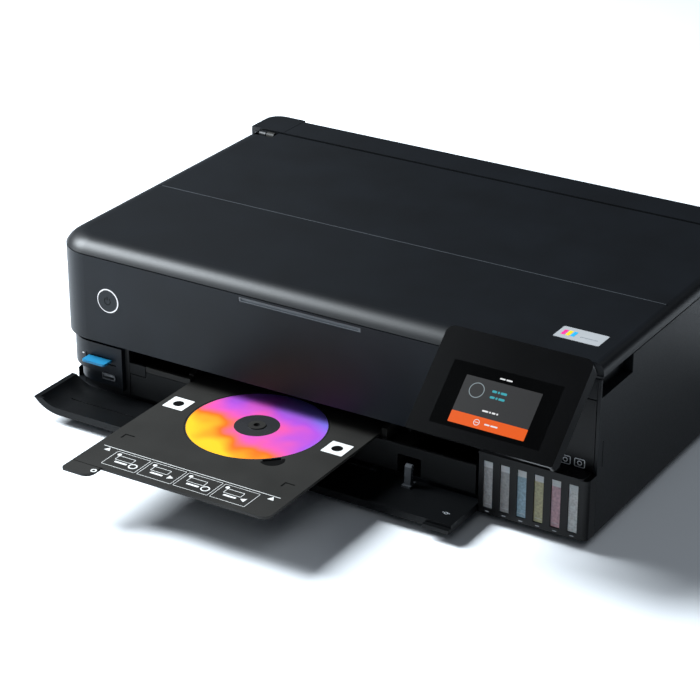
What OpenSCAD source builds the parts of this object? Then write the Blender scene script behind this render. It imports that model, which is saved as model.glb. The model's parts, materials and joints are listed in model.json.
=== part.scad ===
// Six-tank inkjet multifunction printer, front cover open and disc tray out.
// Millimetres, +Z up. Modules are drawn from the front panel's face at Y = 0 and set on the origin last.

/* [Body] */
// Width of the machine
body_w = 523; // [510:1:540]
// Height of the lid's top face
body_top = 156.5; // [154:0.5:160]
// Height of the lower edge of the casing
base_z = 9; // [8:0.5:10]
// Depth of the casing behind the front panel's face
body_d = 354; // [350:1:364]
// How far the rear cover stands out behind the casing
rear_bulge = 6; // [4:0.5:8]
// Wall of the casing
wall = 3; // [2.5:0.1:3.4]
// Radius of the left front corner, seen from above
corner_r = 36; // [30:1:40]
// Radius of the rear corners, seen from above
rear_r = 14; // [8:1:18]

/* [Lid] */
// Thickness of the document cover
lid_t = 11.2; // [10.5:0.1:12]
// Radius of the rounded front edge
bullnose_r = 22; // [18:1:26]
// Fillet along the right side edge
lid_side_r = 8; // [5:0.5:9]
// Depth of the rear feed cover behind the document cover
feed_cover_d = 39.2; // [37:0.1:41]
// Distance of the styling groove from the front
groove_y = 142.5; // [120:0.5:160]
// Width of the styling groove
groove_w = 0.9; // [0.6:0.1:1.4]
// Radius of the lid's hinge pin
lid_pin_r = 2; // [1.8:0.1:2.2]

/* [Front panel] */
// Height of the front panel's lower edge
panel_low = 65; // [64.5:0.1:66]
// Power button centre, in from the left side
power_in = 60.8; // [55:0.1:70]
// Power button centre height
power_z = 106.7; // [100:0.1:112]
// Radius of the power button
power_r = 9.8; // [9.4:0.1:10]
// Width of the finger grip strip
grip_w = 118; // [100:1:130]
// Centre of the finger grip strip
grip_x = -6; // [-12:1:0]

/* [Front cover] */
// Height of the front cover when shut, hinge side to top
cover_h = 54.6; // [54:0.1:54.8]
// Plate of the front cover
cover_t = 3.5; // [3:0.1:3.6]
// Rim of the front cover
cover_rim = 6.4; // [5.5:0.1:6.6]
// Hinge axis of the front cover, behind the panel face
cover_hinge_y = 5.5; // [5.2:0.1:5.8]
// Hinge axis of the front cover, height
cover_hinge_z = 14.5; // [14.2:0.1:14.8]

/* [Control panel] */
// Width of the control panel
cp_w = 128; // [120:0.5:129]
// Height of the control panel
cp_h = 91.5; // [88:0.5:91.5]
// Thickness of the control panel
cp_t = 12; // [11:0.1:12]
// Left edge of the control panel, in from the right side
cp_in = 130.5; // [130.5:0.5:132]
// Tilt of the control panel from upright
cp_tilt = 48; // [30:1:55]
// Screen width
screen_w = 95.6; // [80:0.1:110]
// Screen height
screen_h = 54.5; // [45:0.1:60]

/* [Ink tanks] */
// Width of the ink tank unit
tank_unit_w = 96.6; // [96:0.1:97]
// Number of tanks
tank_n = 6; // [6:1:6]
// Distance from tank to tank
tank_pitch = 15.1; // [15:0.05:15.2]
// Width of a tank window
window_w = 8.5; // [7:0.1:10]
// Height of a tank window
window_h = 42.5; // [36:0.5:43]
// Height of the tank housing's top
tank_top = 62; // [61:0.1:62.4]

/* [Disc tray] */
// Disc diameter
disc_d = 120; // [118:0.5:120]
// Disc tray width
tray_w = 186.5; // [180:0.5:187]
// Disc tray thickness
tray_t = 2.5; // [2.2:0.1:2.6]
// Height of the tray's top face
tray_z = 46.2; // [46:0.1:46.3]
// Distance of the tray's front edge from the panel face
tray_out = 156; // [150:0.5:160]
// Length of the corner ear in front of the tray's edge
ear_out = 16; // [12:0.5:20]
// Distance of the tray's inner end behind the panel face
tray_in = 42; // [40:0.5:50]
// Middle of the paper path, from the middle of the machine
path_x = -28.6; // [-29:0.1:-28]

/* [Paper path] */
// Radius of the feed rollers
roller_r = 7; // [6.5:0.1:7.2]
// Gear module
gear_m = 1; // [1:0.1:1]
// Teeth on a roller gear
roller_teeth = 36; // [36:1:36]
// Teeth on the idler gear
idler_teeth = 72; // [72:1:72]
// Teeth on the motor pinion
pinion_teeth = 16; // [16:1:16]
// Distance between the feed and exit rollers
roller_gap = 93; // [90:0.5:94]
// Radius of the carriage guide shaft
shaft_r = 4.5; // [4:0.1:5]

/* [Hidden] */
$fn = 64;
eps = 0.01;
half_w = body_w / 2;
seam_z = body_top - lid_t;
rim_gap = 0.8;
rim_z = seam_z - rim_gap;
inner_x = half_w - wall;
strip_gap = 0.8;
lid_d = body_d - feed_cover_d - strip_gap;
power_x = half_w - power_in;
cp_left = half_w - cp_in;
fascia_right = cp_left - 4;
tank_left = half_w - tank_unit_w;
cover_right = tank_left - 0.9;
fit = 0.3;
pin_fit = 0.05;
rear_y = body_d + rear_bulge;
tray_front = -(tray_out + ear_out);
origin_y = (rear_y + tray_front) / 2;

// Shared shapes

// Box given by its two corners
module box(x0, x1, y0, y1, z0, z1) {
  translate([x0, y0, z0]) cube([x1 - x0, y1 - y0, z1 - z0]);
}

// Cylinder along X between two stations
module rod_x(x0, x1, y, z, r) {
  translate([x0, y, z]) rotate([0, 90, 0]) cylinder(r = r, h = x1 - x0);
}

// Cylinder along Y between two stations
module rod_y(y0, y1, x, z, r) {
  translate([x, y0, z]) rotate([-90, 0, 0]) cylinder(r = r, h = y1 - y0);
}

// Profile in Y and Z swept along X
module sweep_x(x0, x1) {
  translate([x0, 0, 0]) rotate([90, 0, 90]) linear_extrude(x1 - x0) children();
}

// Cuts one corner of a flat outline to a radius; sx and sy point away from the outline's middle
module corner_cut(x, y, sx, sy, r) {
  translate([x - sx * r, y - sy * r]) difference() {
    translate([sx > 0 ? 0 : -r - 1, sy > 0 ? 0 : -r - 1]) square(r + 1);
    circle(r);
  }
}

// Outline of the casing from above, drawn in by an inset
module casing_outline(inset = 0) {
  x = half_w - inset;
  difference() {
    translate([-x, inset]) square([2 * x, body_d - 2 * inset]);
    corner_cut(-x, inset, -1, -1, corner_r - inset);
    corner_cut(-x, body_d - inset, -1, 1, rear_r - inset);
    corner_cut(x, body_d - inset, 1, 1, rear_r - inset);
  }
}

// Wall that follows the casing's outline between two insets
module casing_wall(inner, outer = 0) {
  difference() {
    casing_outline(outer);
    casing_outline(inner);
  }
}

// Toothed disc with straight flanks, cut for running clearance
module gear_profile(teeth, phase) {
  r = gear_m * teeth / 2;
  root = r - 1.2 * gear_m;
  tip = r + 0.8 * gear_m;
  half_root = 0.3 * PI * gear_m;
  half_tip = 0.12 * PI * gear_m;
  rotate(phase) {
    circle(root);
    for (i = [0:teeth - 1])
      rotate(360 / teeth * i)
        polygon([[root - 0.5, -half_root], [tip, -half_tip], [tip, half_tip], [root - 0.5, half_root]]);
  }
}

// Casing

floor_t = 2.5;
floor_top = base_z + floor_t;
base_front = 12.5;
base_wall_h = 8;
foot_x = half_w - 46.5;
foot_r = 9;
foot_front = 45;
foot_back = 315;
cover_barrel_r = 2.3;
cover_pin_r = 1.5;
barrel_left = -150;
barrel_right = 60;
ear_w = 6;
pan_x = inner_x - fit;
pan_back = body_d - 2 * wall;
runner_x = 84;
runner_w = 6;

module cover_ear(x0) {
  difference() {
    union() {
      rod_x(x0, x0 + ear_w, cover_hinge_y, cover_hinge_z, cover_barrel_r);
      box(x0, x0 + ear_w, cover_hinge_y, base_front + 1,
        cover_hinge_z - 1.4, cover_hinge_z + cover_barrel_r);
    }
    rod_x(x0 - 1, x0 + ear_w + 1, cover_hinge_y, cover_hinge_z, cover_pin_r + pin_fit);
  }
}

module base_pan() color("#202226") {
  difference() {
    intersection() {
      box(-pan_x, pan_x, base_front, pan_back, base_z, floor_top + base_wall_h);
      translate([0, 0, base_z]) linear_extrude(floor_top) casing_outline(wall + fit);
    }
    box(-pan_x + 2, pan_x - 2, base_front + 2, pan_back - 2, floor_top, floor_top + base_wall_h + 1);
    box(cassette_left - 4, tank_left - 2, base_front - 1, base_front + 3, floor_top + 3, floor_top + 20);
    box(-half_w, -half_w + 22, base_front - 1, cover_wrap + 3, base_z - 1, floor_top + base_wall_h + 1);
    for (x = [-foot_x, foot_x], y = [foot_front, foot_back])
      translate([x, y, base_z - 1]) cylinder(r = 3, h = floor_t + 2);
  }
  for (x = [path_x - runner_x, path_x + runner_x - runner_w])
    box(x, x + runner_w, 30, cassette_back - 8, floor_top - eps, face_low - fit);
  cover_ear(barrel_left - fit - ear_w);
  cover_ear(barrel_right + fit);
}

module rubber_feet() color("#151515") {
  for (x = [-foot_x, foot_x], y = [foot_front, foot_back]) translate([x, y, 0]) {
    cylinder(r1 = foot_r - 1, r2 = foot_r, h = base_z);
    cylinder(r = 3 - pin_fit, h = base_z + floor_t);
  }
}

side_front_left = corner_r + 0.4;
recess_y = 12.5;
finger_y0 = 15;
finger_y1 = 69;
finger_z0 = 128;
finger_depth = 9;
side_rear = body_d - wall - fit;

module side_cover_left() color("#1c1f24") {
  translate([0, 0, base_z]) linear_extrude(rim_z - base_z) intersection() {
    casing_wall(wall);
    translate([-half_w - 1, side_front_left]) square([60, side_rear - side_front_left - rear_r]);
  }
}

module side_cover_right() color("#1c1f24") {
  difference() {
    union() {
      translate([0, 0, base_z]) linear_extrude(rim_z - base_z) intersection() {
        casing_wall(wall);
        translate([half_w - 40, recess_y]) square([41, side_rear - recess_y - rear_r]);
      }
      box(half_w - wall - finger_depth, half_w - wall + eps, finger_y0 - 2, finger_y1 + 2,
        finger_z0 - 2, rim_z);
    }
    box(half_w - finger_depth, half_w + 1, finger_y0, finger_y1, finger_z0, rim_z + 1);
    box(half_w - 1, half_w + 1, 20, 21.5, 66, 88.6);
  }
}

slot_half = tray_w / 2 + 5;
inlet_x = half_w - 65.5;
inlet_z = 40;
inlet_w = 28;
inlet_h = 21;
port_x = -half_w + 111.5;
bulge_x = half_w - 71.5;
bulge_low = 20;
bulge_top = rim_z - 16;
shoulder_x = half_w - 36;
strip_front = lid_d + strip_gap;
hinge_y = lid_d - 4;
hinge_z = body_top - 4;
bracket_x = half_w - 20.5;
bracket_w = 7;

module hinge_eye(x0, w) {
  rod_x(x0, x0 + w, hinge_y, hinge_z, lid_pin_r + 1.6);
}

module rear_cover() color("#1a1c20") {
  difference() {
    union() {
      translate([0, 0, base_z]) linear_extrude(rim_z + 0.2 - base_z) intersection() {
        casing_wall(wall);
        translate([-half_w, side_rear - rear_r + 0.4]) square([body_w, 2 * rear_r]);
      }
      box(-bulge_x, bulge_x, body_d - wall, rear_y, bulge_low, bulge_top);
      for (s = [-1, 1]) {
        translate([0, 0, rim_z + 0.1]) linear_extrude(body_top - rim_z - 0.1) intersection() {
          casing_outline();
          translate([s > 0 ? shoulder_x : -half_w - 1, strip_front])
            square([half_w + 1 - shoulder_x, body_d - strip_front]);
        }
        mirror([s < 0 ? 1 : 0, 0, 0]) {
          hinge_eye(bracket_x, bracket_w);
          box(bracket_x, bracket_x + bracket_w, hinge_y, strip_front + 1, hinge_z - 2, hinge_z + 2);
          box(half_w - 33, half_w - 4, strip_front, body_d - rear_r, rim_z - 8, rim_z + 1);
        }
      }
    }
    box(-bulge_x + wall + 1, bulge_x - wall - 1, body_d - wall - 1, rear_y - wall,
      bulge_low + wall, bulge_top - wall);
    box(path_x - slot_half, path_x + slot_half, body_d - wall - 2, rear_y + 1,
      tray_z - tray_t - 2, tray_z + 3);
    box(inlet_x - inlet_w / 2, inlet_x + inlet_w / 2, body_d - wall - 2, rear_y + 1,
      inlet_z - inlet_h / 2, inlet_z + inlet_h / 2);
    box(port_x - 7, port_x + 7, body_d - wall - 2, rear_y + 1, 60, 71);
    box(port_x + 14, port_x + 30, body_d - wall - 2, rear_y + 1, 60, 73);
    for (x = [port_x - 20, port_x + 20, port_x + 60])
      for (i = [0:5])
        box(x - 16, x + 16, rear_y - wall - 1, rear_y + 1, 90 + 5 * i, 92 + 5 * i);
    for (s = [-1, 1])
      mirror([s < 0 ? 1 : 0, 0, 0])
        rod_x(bracket_x - 1, bracket_x + bracket_w + 1, hinge_y, hinge_z, lid_pin_r + pin_fit / 2);
    for (s = [0, 1])
      mirror([s, 0, 0])
        rod_x(shoulder_x - 1, shoulder_x + 6.5, feed_pin_y, feed_pin_z, feed_pin_r + pin_fit);
    for (x = [-screw_x, screw_x], z = [screw_low, screw_high])
      rod_y(body_d - wall - 2, body_d + 1, x, z, screw_r + pin_fit);
  }
}

screw_x = half_w - 36.5;
screw_low = 30;
screw_high = 120;
screw_r = 1.5;

module case_screws() color("#8d9094") {
  for (x = [-screw_x, screw_x], z = [screw_low, screw_high]) {
    rod_y(body_d - wall - 6, body_d + eps, x, z, screw_r);
    difference() {
      rod_y(body_d, body_d + 2, x, z, 3);
      for (a = [0, 90])
        translate([x, body_d + 1.5, z]) rotate([0, a, 0]) cube([3.4, 1.6, 0.8], center = true);
    }
  }
}

module ac_inlet() color("#101112") {
  difference() {
    box(inlet_x - inlet_w / 2 + fit, inlet_x + inlet_w / 2 - fit, body_d - 22, body_d - wall + 2,
      inlet_z - inlet_h / 2 + fit, inlet_z + inlet_h / 2 - fit);
    box(inlet_x - 9, inlet_x + 9, body_d - 14, body_d, inlet_z - 6, inlet_z + 6);
  }
  for (x = [-4.5, 4.5])
    rod_y(body_d - 16, body_d - 4, inlet_x + x, inlet_z, 1.2);
}

// Front panel and its trim

grip_z0 = 138.5;
grip_z1 = 142.5;
grip_depth = 2;

module front_panel() color("#33383d") {
  difference() {
    union() {
      translate([0, 0, panel_low]) linear_extrude(rim_z - panel_low) intersection() {
        casing_wall(wall);
        translate([-half_w - 1, -1]) square([half_w + 1 + fascia_right, corner_r + 1]);
      }
      box(fascia_right - wall, fascia_right, 0, recess_y - fit, panel_low, rim_z);
      box(-half_w + corner_r, fascia_right, wall - eps, wall + 9, panel_low, panel_low + 2);
      box(grip_x - grip_w / 2 - 2, grip_x + grip_w / 2 + 2, wall - eps, wall + 3, grip_z0 - 2, rim_z);
    }
    box(grip_x - grip_w / 2, grip_x + grip_w / 2, -1, grip_depth + 1.5, grip_z0, grip_z1);
    rod_y(-1, wall + 1, -power_x, power_z, ring_r);
  }
}

ring_r = 11;
ring_in = power_r + 0.3;

module grip_strip() color("#4a4f55") {
  difference() {
    box(grip_x - grip_w / 2 + 0.1, grip_x + grip_w / 2 - 0.1, 0.4, grip_depth + 1.5,
      grip_z0 + 0.1, grip_z1 - 0.1);
    box(grip_x - grip_w / 2 + 2, grip_x + grip_w / 2 - 2, 0, 1.4, grip_z0 + 0.8, grip_z1 - 0.8);
  }
}

module power_ring() color("white") {
  difference() {
    rod_y(-0.3, wall, -power_x, power_z, ring_r - pin_fit);
    rod_y(-1, wall + 1, -power_x, power_z, ring_in);
  }
  difference() {
    rod_y(wall, wall + 2, -power_x, power_z, ring_r + 2);
    rod_y(wall - 1, wall + 3, -power_x, power_z, ring_in);
  }
}

module power_button() color("#23272c") {
  rod_y(-0.8, wall + 4, -power_x, power_z, power_r);
  difference() {
    rod_y(wall + 3.6, wall + 5.6, -power_x, power_z, power_r + 2);
    rod_y(wall + 3, wall + 6, -power_x, power_z, 2);
  }
}

// Card slot module at the left front

module_face = 4;
module_right = -half_w + 69.7;
module_top = panel_low - 0.4;
module_low = 20.5;
split_z = 34.2;
card_x0 = -half_w + 33.5;
card_w = 24;
card_z = 46.2;
card_t = 2.1;
usb_x0 = -half_w + 44.5;
usb_w = 13.6;
usb_z0 = 25.6;
usb_h = 5.6;

module card_slot_module() color("#3a3f45") {
  difference() {
    translate([0, 0, module_low]) linear_extrude(module_top - module_low) intersection() {
      casing_outline(module_face);
      translate([-half_w, 0]) square([half_w + module_right, corner_r - 2]);
    }
    translate([0, 0, module_low - 1]) linear_extrude(split_z - module_low + 1) difference() {
      translate([-half_w, 0]) square([half_w + module_right - 1.5, corner_r]);
      casing_outline(module_face + 5);
    }
    translate([0, 0, cover_top - 3 - fit]) linear_extrude(10) casing_wall(cover_rim + fit);
    box(card_x0 - fit, card_x0 + card_w + fit, 0, module_face + 29,
      card_z - card_t / 2 - fit, card_z + card_t / 2 + fit);
    box(card_x0 - 3, card_x0 + card_w + 6, 0, module_face + 1.2, card_z - 3.4, card_z + 3.4);
    box(usb_x0 - fit, usb_x0 + usb_w + fit, 0, module_face + 20, usb_z0 - fit, usb_z0 + usb_h + fit);
  }
}

module usb_port() color("#b9bcc0") {
  difference() {
    box(usb_x0, usb_x0 + usb_w, module_face + 4, module_face + 19.7, usb_z0, usb_z0 + usb_h);
    box(usb_x0 + 0.7, usb_x0 + usb_w - 0.7, module_face, module_face + 17,
      usb_z0 + 0.7, usb_z0 + usb_h - 0.7);
  }
  box(usb_x0 + 1.4, usb_x0 + usb_w - 1.4, module_face + 5, module_face + 17,
    usb_z0 + 2.6, usb_z0 + usb_h - 0.8);
}

card_out = 10;

module memory_card() color("#2f93c4") {
  translate([card_x0, module_face - card_out, card_z - card_t / 2]) linear_extrude(card_t) difference() {
    square([card_w, 28]);
    corner_cut(0, 0, -1, -1, 2);
    corner_cut(card_w, 0, 1, -1, 2);
  }
}

// Front cover, drawn shut and laid open about its hinge

cover_low = base_z + 0.5;
cover_wrap = 12;
cover_top = cover_low + cover_h;
tab_x0 = cover_right - 24;
tab_h = 4.5;
cover_groove_z = 37.4;

module laid_open() {
  translate([0, cover_hinge_y, cover_hinge_z]) rotate([90, 0, 0])
    translate([0, -cover_hinge_y, -cover_hinge_z]) children();
}

module cover_band(inner, z0, z1, back) {
  translate([0, 0, z0]) linear_extrude(z1 - z0) intersection() {
    casing_wall(inner);
    translate([-half_w - 1, -1]) square([half_w + 1 + cover_right, back + 1]);
  }
}

module front_cover() color("#1d2025") laid_open() difference() {
  union() {
    cover_band(cover_t, cover_low, cover_top, cover_wrap);
    cover_band(cover_rim, cover_top - 3, cover_top, cover_wrap);
    box(cover_right - 3, cover_right, 0, cover_rim, cover_low + 8, cover_top);
    box(tab_x0, cover_right, 0, cover_t, cover_top - 1, cover_top + tab_h);
    rod_x(barrel_left, barrel_right, cover_hinge_y, cover_hinge_z, cover_barrel_r);
    box(barrel_left, barrel_right, cover_t - 1, cover_hinge_y, cover_hinge_z - 1.5, cover_hinge_z + 1.5);
    rod_x(barrel_left - fit - ear_w, barrel_right + fit + ear_w, cover_hinge_y, cover_hinge_z, cover_pin_r);
  }
  for (x = [barrel_left - 2 * fit - ear_w, barrel_right])
    difference() {
      rod_x(x, x + ear_w + 2 * fit, cover_hinge_y, cover_hinge_z, cover_barrel_r + 0.6);
      rod_x(x - 1, x + ear_w + 2, cover_hinge_y, cover_hinge_z, cover_pin_r);
    }
  box(-half_w + 29.5, -half_w + 98.5, cover_t - 0.7, cover_t + 1, cover_groove_z, cover_groove_z + 1.2);
  sweep_x(tab_x0 - 12, tab_x0)
    polygon([[-1, cover_top + 9], [-1, cover_top], [cover_t + 9, cover_top]]);
}

module cover_hook() color("#5a5d61") laid_open() {
  box(hook_x, hook_x + hook_w, cover_t, cover_t + 2, hook_z - 5, hook_z + 5);
  sweep_x(hook_x + 1, hook_x + hook_w - 1)
    polygon([[cover_t, hook_z - 3], [hook_reach - 6, hook_z - 1.6], [hook_reach - 5, hook_z - 3.6],
      [hook_reach - 1, hook_z - 3], [hook_reach, hook_z - 1.5], [hook_reach, hook_z],
      [hook_reach - 2, hook_z + 1.6], [cover_t, hook_z + 3]]);
}

// Paper cassette, its output tray and edge guides

face_y = 8;
face_t = 3;
face_left = -half_w + 75.5;
face_right = tank_left - 7.9;
face_low = 17.4;
cheek_top = 48.5;
face_top = 43.2;
notch_w = 17;
notch_z = 37.6;
cassette_left = path_x - 113.4;
cassette_right = path_x + 112.6;
cassette_back = body_d - 84;
cassette_wall = 27.5;
hook_x = cassette_right + 11.5;
hook_w = 8;
hook_z = 20;
hook_reach = 23;
hook_gap_w = 22;
hook_gap_z = 34.2;

module paper_cassette() color("#34373b") {
  translate([0, face_y + face_t, 0]) rotate([90, 0, 0]) linear_extrude(face_t)
    polygon([[face_left, face_low], [cassette_right, face_low], [cassette_right, hook_gap_z],
      [cassette_right + hook_gap_w, hook_gap_z], [cassette_right + hook_gap_w, face_low],
      [face_right, face_low], [face_right, face_top], [face_left + notch_w, face_top],
      [face_left + notch_w, notch_z], [face_left, notch_z]]);
  difference() {
    box(cassette_left, cassette_right, face_y + face_t - eps, cassette_back, face_low, cassette_wall);
    box(cassette_left + 2, cassette_right - 2, face_y + face_t + 2, cassette_back - 2,
      face_low + 2, cassette_wall + 1);
    for (x = [-1, 1])
      translate([path_x + x * 40, cassette_back - 60, face_low - 1]) cylinder(r = 14, h = 4);
  }
}

out_back = 96;

module output_tray() color("#2a2c30") {
  difference() {
    sweep_x(cassette_left, cassette_right)
      polygon([[face_y + face_t, cassette_wall], [out_back, cassette_wall], [out_back, cassette_wall + 7],
        [face_y + face_t, cassette_wall + 3]]);
    for (i = [0:5])
      box(cassette_left + 14 + 36 * i, cassette_left + 32 + 36 * i, face_y + face_t + 6, out_back + 1,
        cassette_wall + 2, cassette_wall + 8);
  }
}

guide_x = 105;
guide_wall_z = 26;

module edge_guide(side) {
  mirror([side < 0 ? 0 : 1, 0, 0]) {
    box(0, 2, 100, 225, face_low + 2 + 0.3, guide_wall_z);
    box(0, 24, 140, 170, face_low + 2 + 0.3, face_low + 4.3);
  }
}

module edge_guide_left() color("#45484d") translate([path_x - guide_x, 0, 0]) edge_guide(-1);

module edge_guide_right() color("#45484d") translate([path_x + guide_x, 0, 0]) edge_guide(1);

// Disc tray with its seat and guide

disc_y = -29.6;
seat_depth = 1.4;
disc_t = 1.2;
seat_r = disc_d / 2 + 0.4;
hub_r = 7.35;
ear_w_tray = 28;
tray_r = 8;

module tray_outline() {
  left = path_x - tray_w / 2;
  right = path_x + tray_w / 2;
  difference() {
    union() {
      translate([left, -tray_out]) square([tray_w, tray_out + tray_in]);
      translate([left, tray_front]) square([ear_w_tray, ear_out + 1]);
    }
    corner_cut(left, tray_front, -1, -1, 3);
    corner_cut(left + ear_w_tray, tray_front, 1, -1, tray_r);
    corner_cut(right, -tray_out, 1, -1, tray_r);
    corner_cut(left, tray_in, -1, 1, 3);
    corner_cut(right, tray_in, 1, 1, 3);
  }
}

module disc_tray() color("#3b3c3e") difference() {
  union() {
    translate([0, 0, tray_z - tray_t]) linear_extrude(tray_t) tray_outline();
    translate([path_x, disc_y, tray_z - seat_depth]) cylinder(r = hub_r, h = seat_depth - 0.2 + 0.8);
  }
  translate([path_x, disc_y, tray_z - seat_depth]) difference() {
    cylinder(r = seat_r, h = seat_depth + 1);
    translate([0, 0, -1]) cylinder(r = hub_r, h = seat_depth + 3);
  }
  translate([path_x + 44, disc_y - 44, tray_z - seat_depth - 0.3]) cylinder(r = 8, h = seat_depth + 1);
  translate([path_x, disc_y, tray_z - tray_t - 1]) cylinder(r = 3, h = tray_t + 4);
  box(path_x - tray_w / 2 - 1, path_x - tray_w / 2 + ear_w_tray, -tray_out - 1.4, -tray_out - 0.6,
    tray_z - 0.5, tray_z + 1);
}

module disc() color("#c98fd0") translate([path_x, disc_y, tray_z - seat_depth]) difference() {
  cylinder(r = disc_d / 2, h = disc_t);
  translate([0, 0, -1]) cylinder(r = 7.5, h = disc_t + 2);
}

guide_rail_w = 5;
guide_front = 14;
beam_y = 92;

module tray_guide() color("#2b2d31") {
  for (s = [-1, 1]) {
    x = path_x + s * (tray_w / 2 + 0.5 + guide_rail_w / 2);
    difference() {
      box(x - guide_rail_w / 2, x + guide_rail_w / 2, guide_front, beam_y,
        tray_z - tray_t - 3, beam_low + 4);
      sweep_x(x - guide_rail_w, x + guide_rail_w)
        polygon([[guide_front - 1, beam_low - 2], [guide_front - 1, beam_low + 9],
          [guide_front + 40, beam_low + 9]]);
    }
  }
  box(path_x - tray_w / 2 - 3, path_x + tray_w / 2 + 3, beam_y - 14, beam_y, beam_low, beam_low + 4);
  box(face_left + notch_w, path_x - tray_w / 2 - 0.5, face_y, face_y + face_t, face_top + 0.4, cheek_top);
  box(path_x - tray_w / 2 - 0.5 - guide_rail_w, path_x - tray_w / 2 - 0.5,
    face_y + face_t - eps, guide_front + eps, face_top + 0.4, cheek_top);
}

beam_low = 52;

// Ink tank unit

tank_front = -2;
tank_back = 58;
tank_x0 = tank_left + 8.3;
tank_w = 14.3;
window_z = 13.9;
tank_floor = 12;
tank_lid_z = 56.9;
tank_plate = 3;
tank_corner = 4;
cap_y = 7.2;

module tank_housing() color("#23262a") {
  difference() {
    union() {
      translate([0, 0, base_z]) linear_extrude(tank_top - base_z) difference() {
        translate([tank_left, tank_front]) square([half_w - tank_left, recess_y - fit - tank_front]);
        corner_cut(half_w, tank_front, 1, -1, tank_corner);
      }
      box(tank_left, inner_x - fit, recess_y - fit - eps, tank_back + 3,
        floor_top + base_wall_h + 1, tank_top);
    }
    box(tank_x0 - tank_w / 2 - fit, tank_x0 + (tank_n - 1) * tank_pitch + tank_w / 2 + fit,
      tank_front + tank_plate, tank_back + fit, tank_floor, tank_top + 1);
    for (i = [0:tank_n - 1])
      box(tank_x0 + i * tank_pitch - window_w / 2, tank_x0 + i * tank_pitch + window_w / 2,
        tank_front - 1, tank_front + tank_plate + 1, window_z, window_z + window_h);
  }
}

module ink_tanks() color("#a8b0b4") {
  for (i = [0:tank_n - 1]) {
    x = tank_x0 + i * tank_pitch;
    difference() {
      union() {
        box(x - tank_w / 2, x + tank_w / 2, tank_front + tank_plate + fit, tank_back,
          tank_floor + 8, tank_lid_z);
        box(x - tank_w / 2, x + tank_w / 2, tank_front + tank_plate + fit, base_front - fit,
          tank_floor + fit, tank_lid_z);
        translate([x, cap_y, tank_lid_z - eps]) cylinder(r = 4.5, h = 2);
      }
      translate([x, cap_y, tank_lid_z - 10]) cylinder(r = 3, h = 14);
    }
    box(x - window_w / 2 + 0.2, x + window_w / 2 - 0.2, tank_front + 1, tank_front + tank_plate + fit + eps,
      window_z + 0.2, window_z + window_h - 0.2);
  }
}

module tank_caps() color("#2d3034") {
  for (i = [0:tank_n - 1])
    translate([tank_x0 + i * tank_pitch, cap_y, 0]) {
      translate([0, 0, tank_lid_z + 2]) cylinder(r = 5.4, h = 2.2);
      translate([0, 0, tank_lid_z - 4]) cylinder(r = 3 - pin_fit, h = 6 + eps);
    }
}

tank_cover_t = 2;
tank_cover_z = tank_top + 0.3;
tank_cover_front = -4;
sign_x = half_w - 28.5;
sign_pitch = 12.2;
sign_y = 5.2;
sign_w = 10;
sign_h = 8;

// Plate of a raised sign, drawn in by an inset
module sign_plate(i, inset, z0, z1) {
  x = sign_x + i * sign_pitch;
  box(x - sign_w / 2 + inset, x + sign_w / 2 - inset,
    sign_y - sign_h / 2 + inset, sign_y + sign_h / 2 - inset,
    z0, z1);
}

module tank_cover() color("#23262a") {
  difference() {
    union() {
      box(tank_left + 0.5, half_w - 4, tank_cover_front, recess_y - 2,
        tank_cover_z, tank_cover_z + tank_cover_t);
      for (i = [0, 1])
        sign_plate(i, 0, tank_cover_z + 1, tank_cover_z + tank_cover_t + 0.4);
    }
    for (i = [0, 1])
      sign_plate(i, 0.8, tank_cover_z + tank_cover_t, tank_cover_z + tank_cover_t + 1);
    translate([0, 0, tank_top - 1]) linear_extrude(6)
      corner_cut(half_w - 4, tank_cover_front, 1, -1, tank_corner);
  }
  rod_x(tank_left + 4, tank_left + 84, recess_y - 2.5, tank_top + 1.4, 1.1);
}

// Control panel, drawn upright and tilted about its pivot

pivot_y = 9;
pivot_z = body_top - 6.5;
cp_front = pivot_y - cp_t;
cp_low = body_top - cp_h;
cp_r = 7;
knuckle_r = 4.6;
cp_pin_r = 2;
cp_ear_w = 6;
cp_ear_in = 11;
screen_x0 = cp_left + 17.1;
screen_top = body_top - 26.9;
screen_t = 1.2;
lip_y = -0.4;
cp_right = cp_left + cp_w;
ear_l = cp_left + cp_ear_in;
ear_r = cp_right - cp_ear_in - cp_ear_w;

module tilted() {
  translate([0, pivot_y, pivot_z]) rotate([-cp_tilt, 0, 0]) translate([0, -pivot_y, -pivot_z]) children();
}

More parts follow.
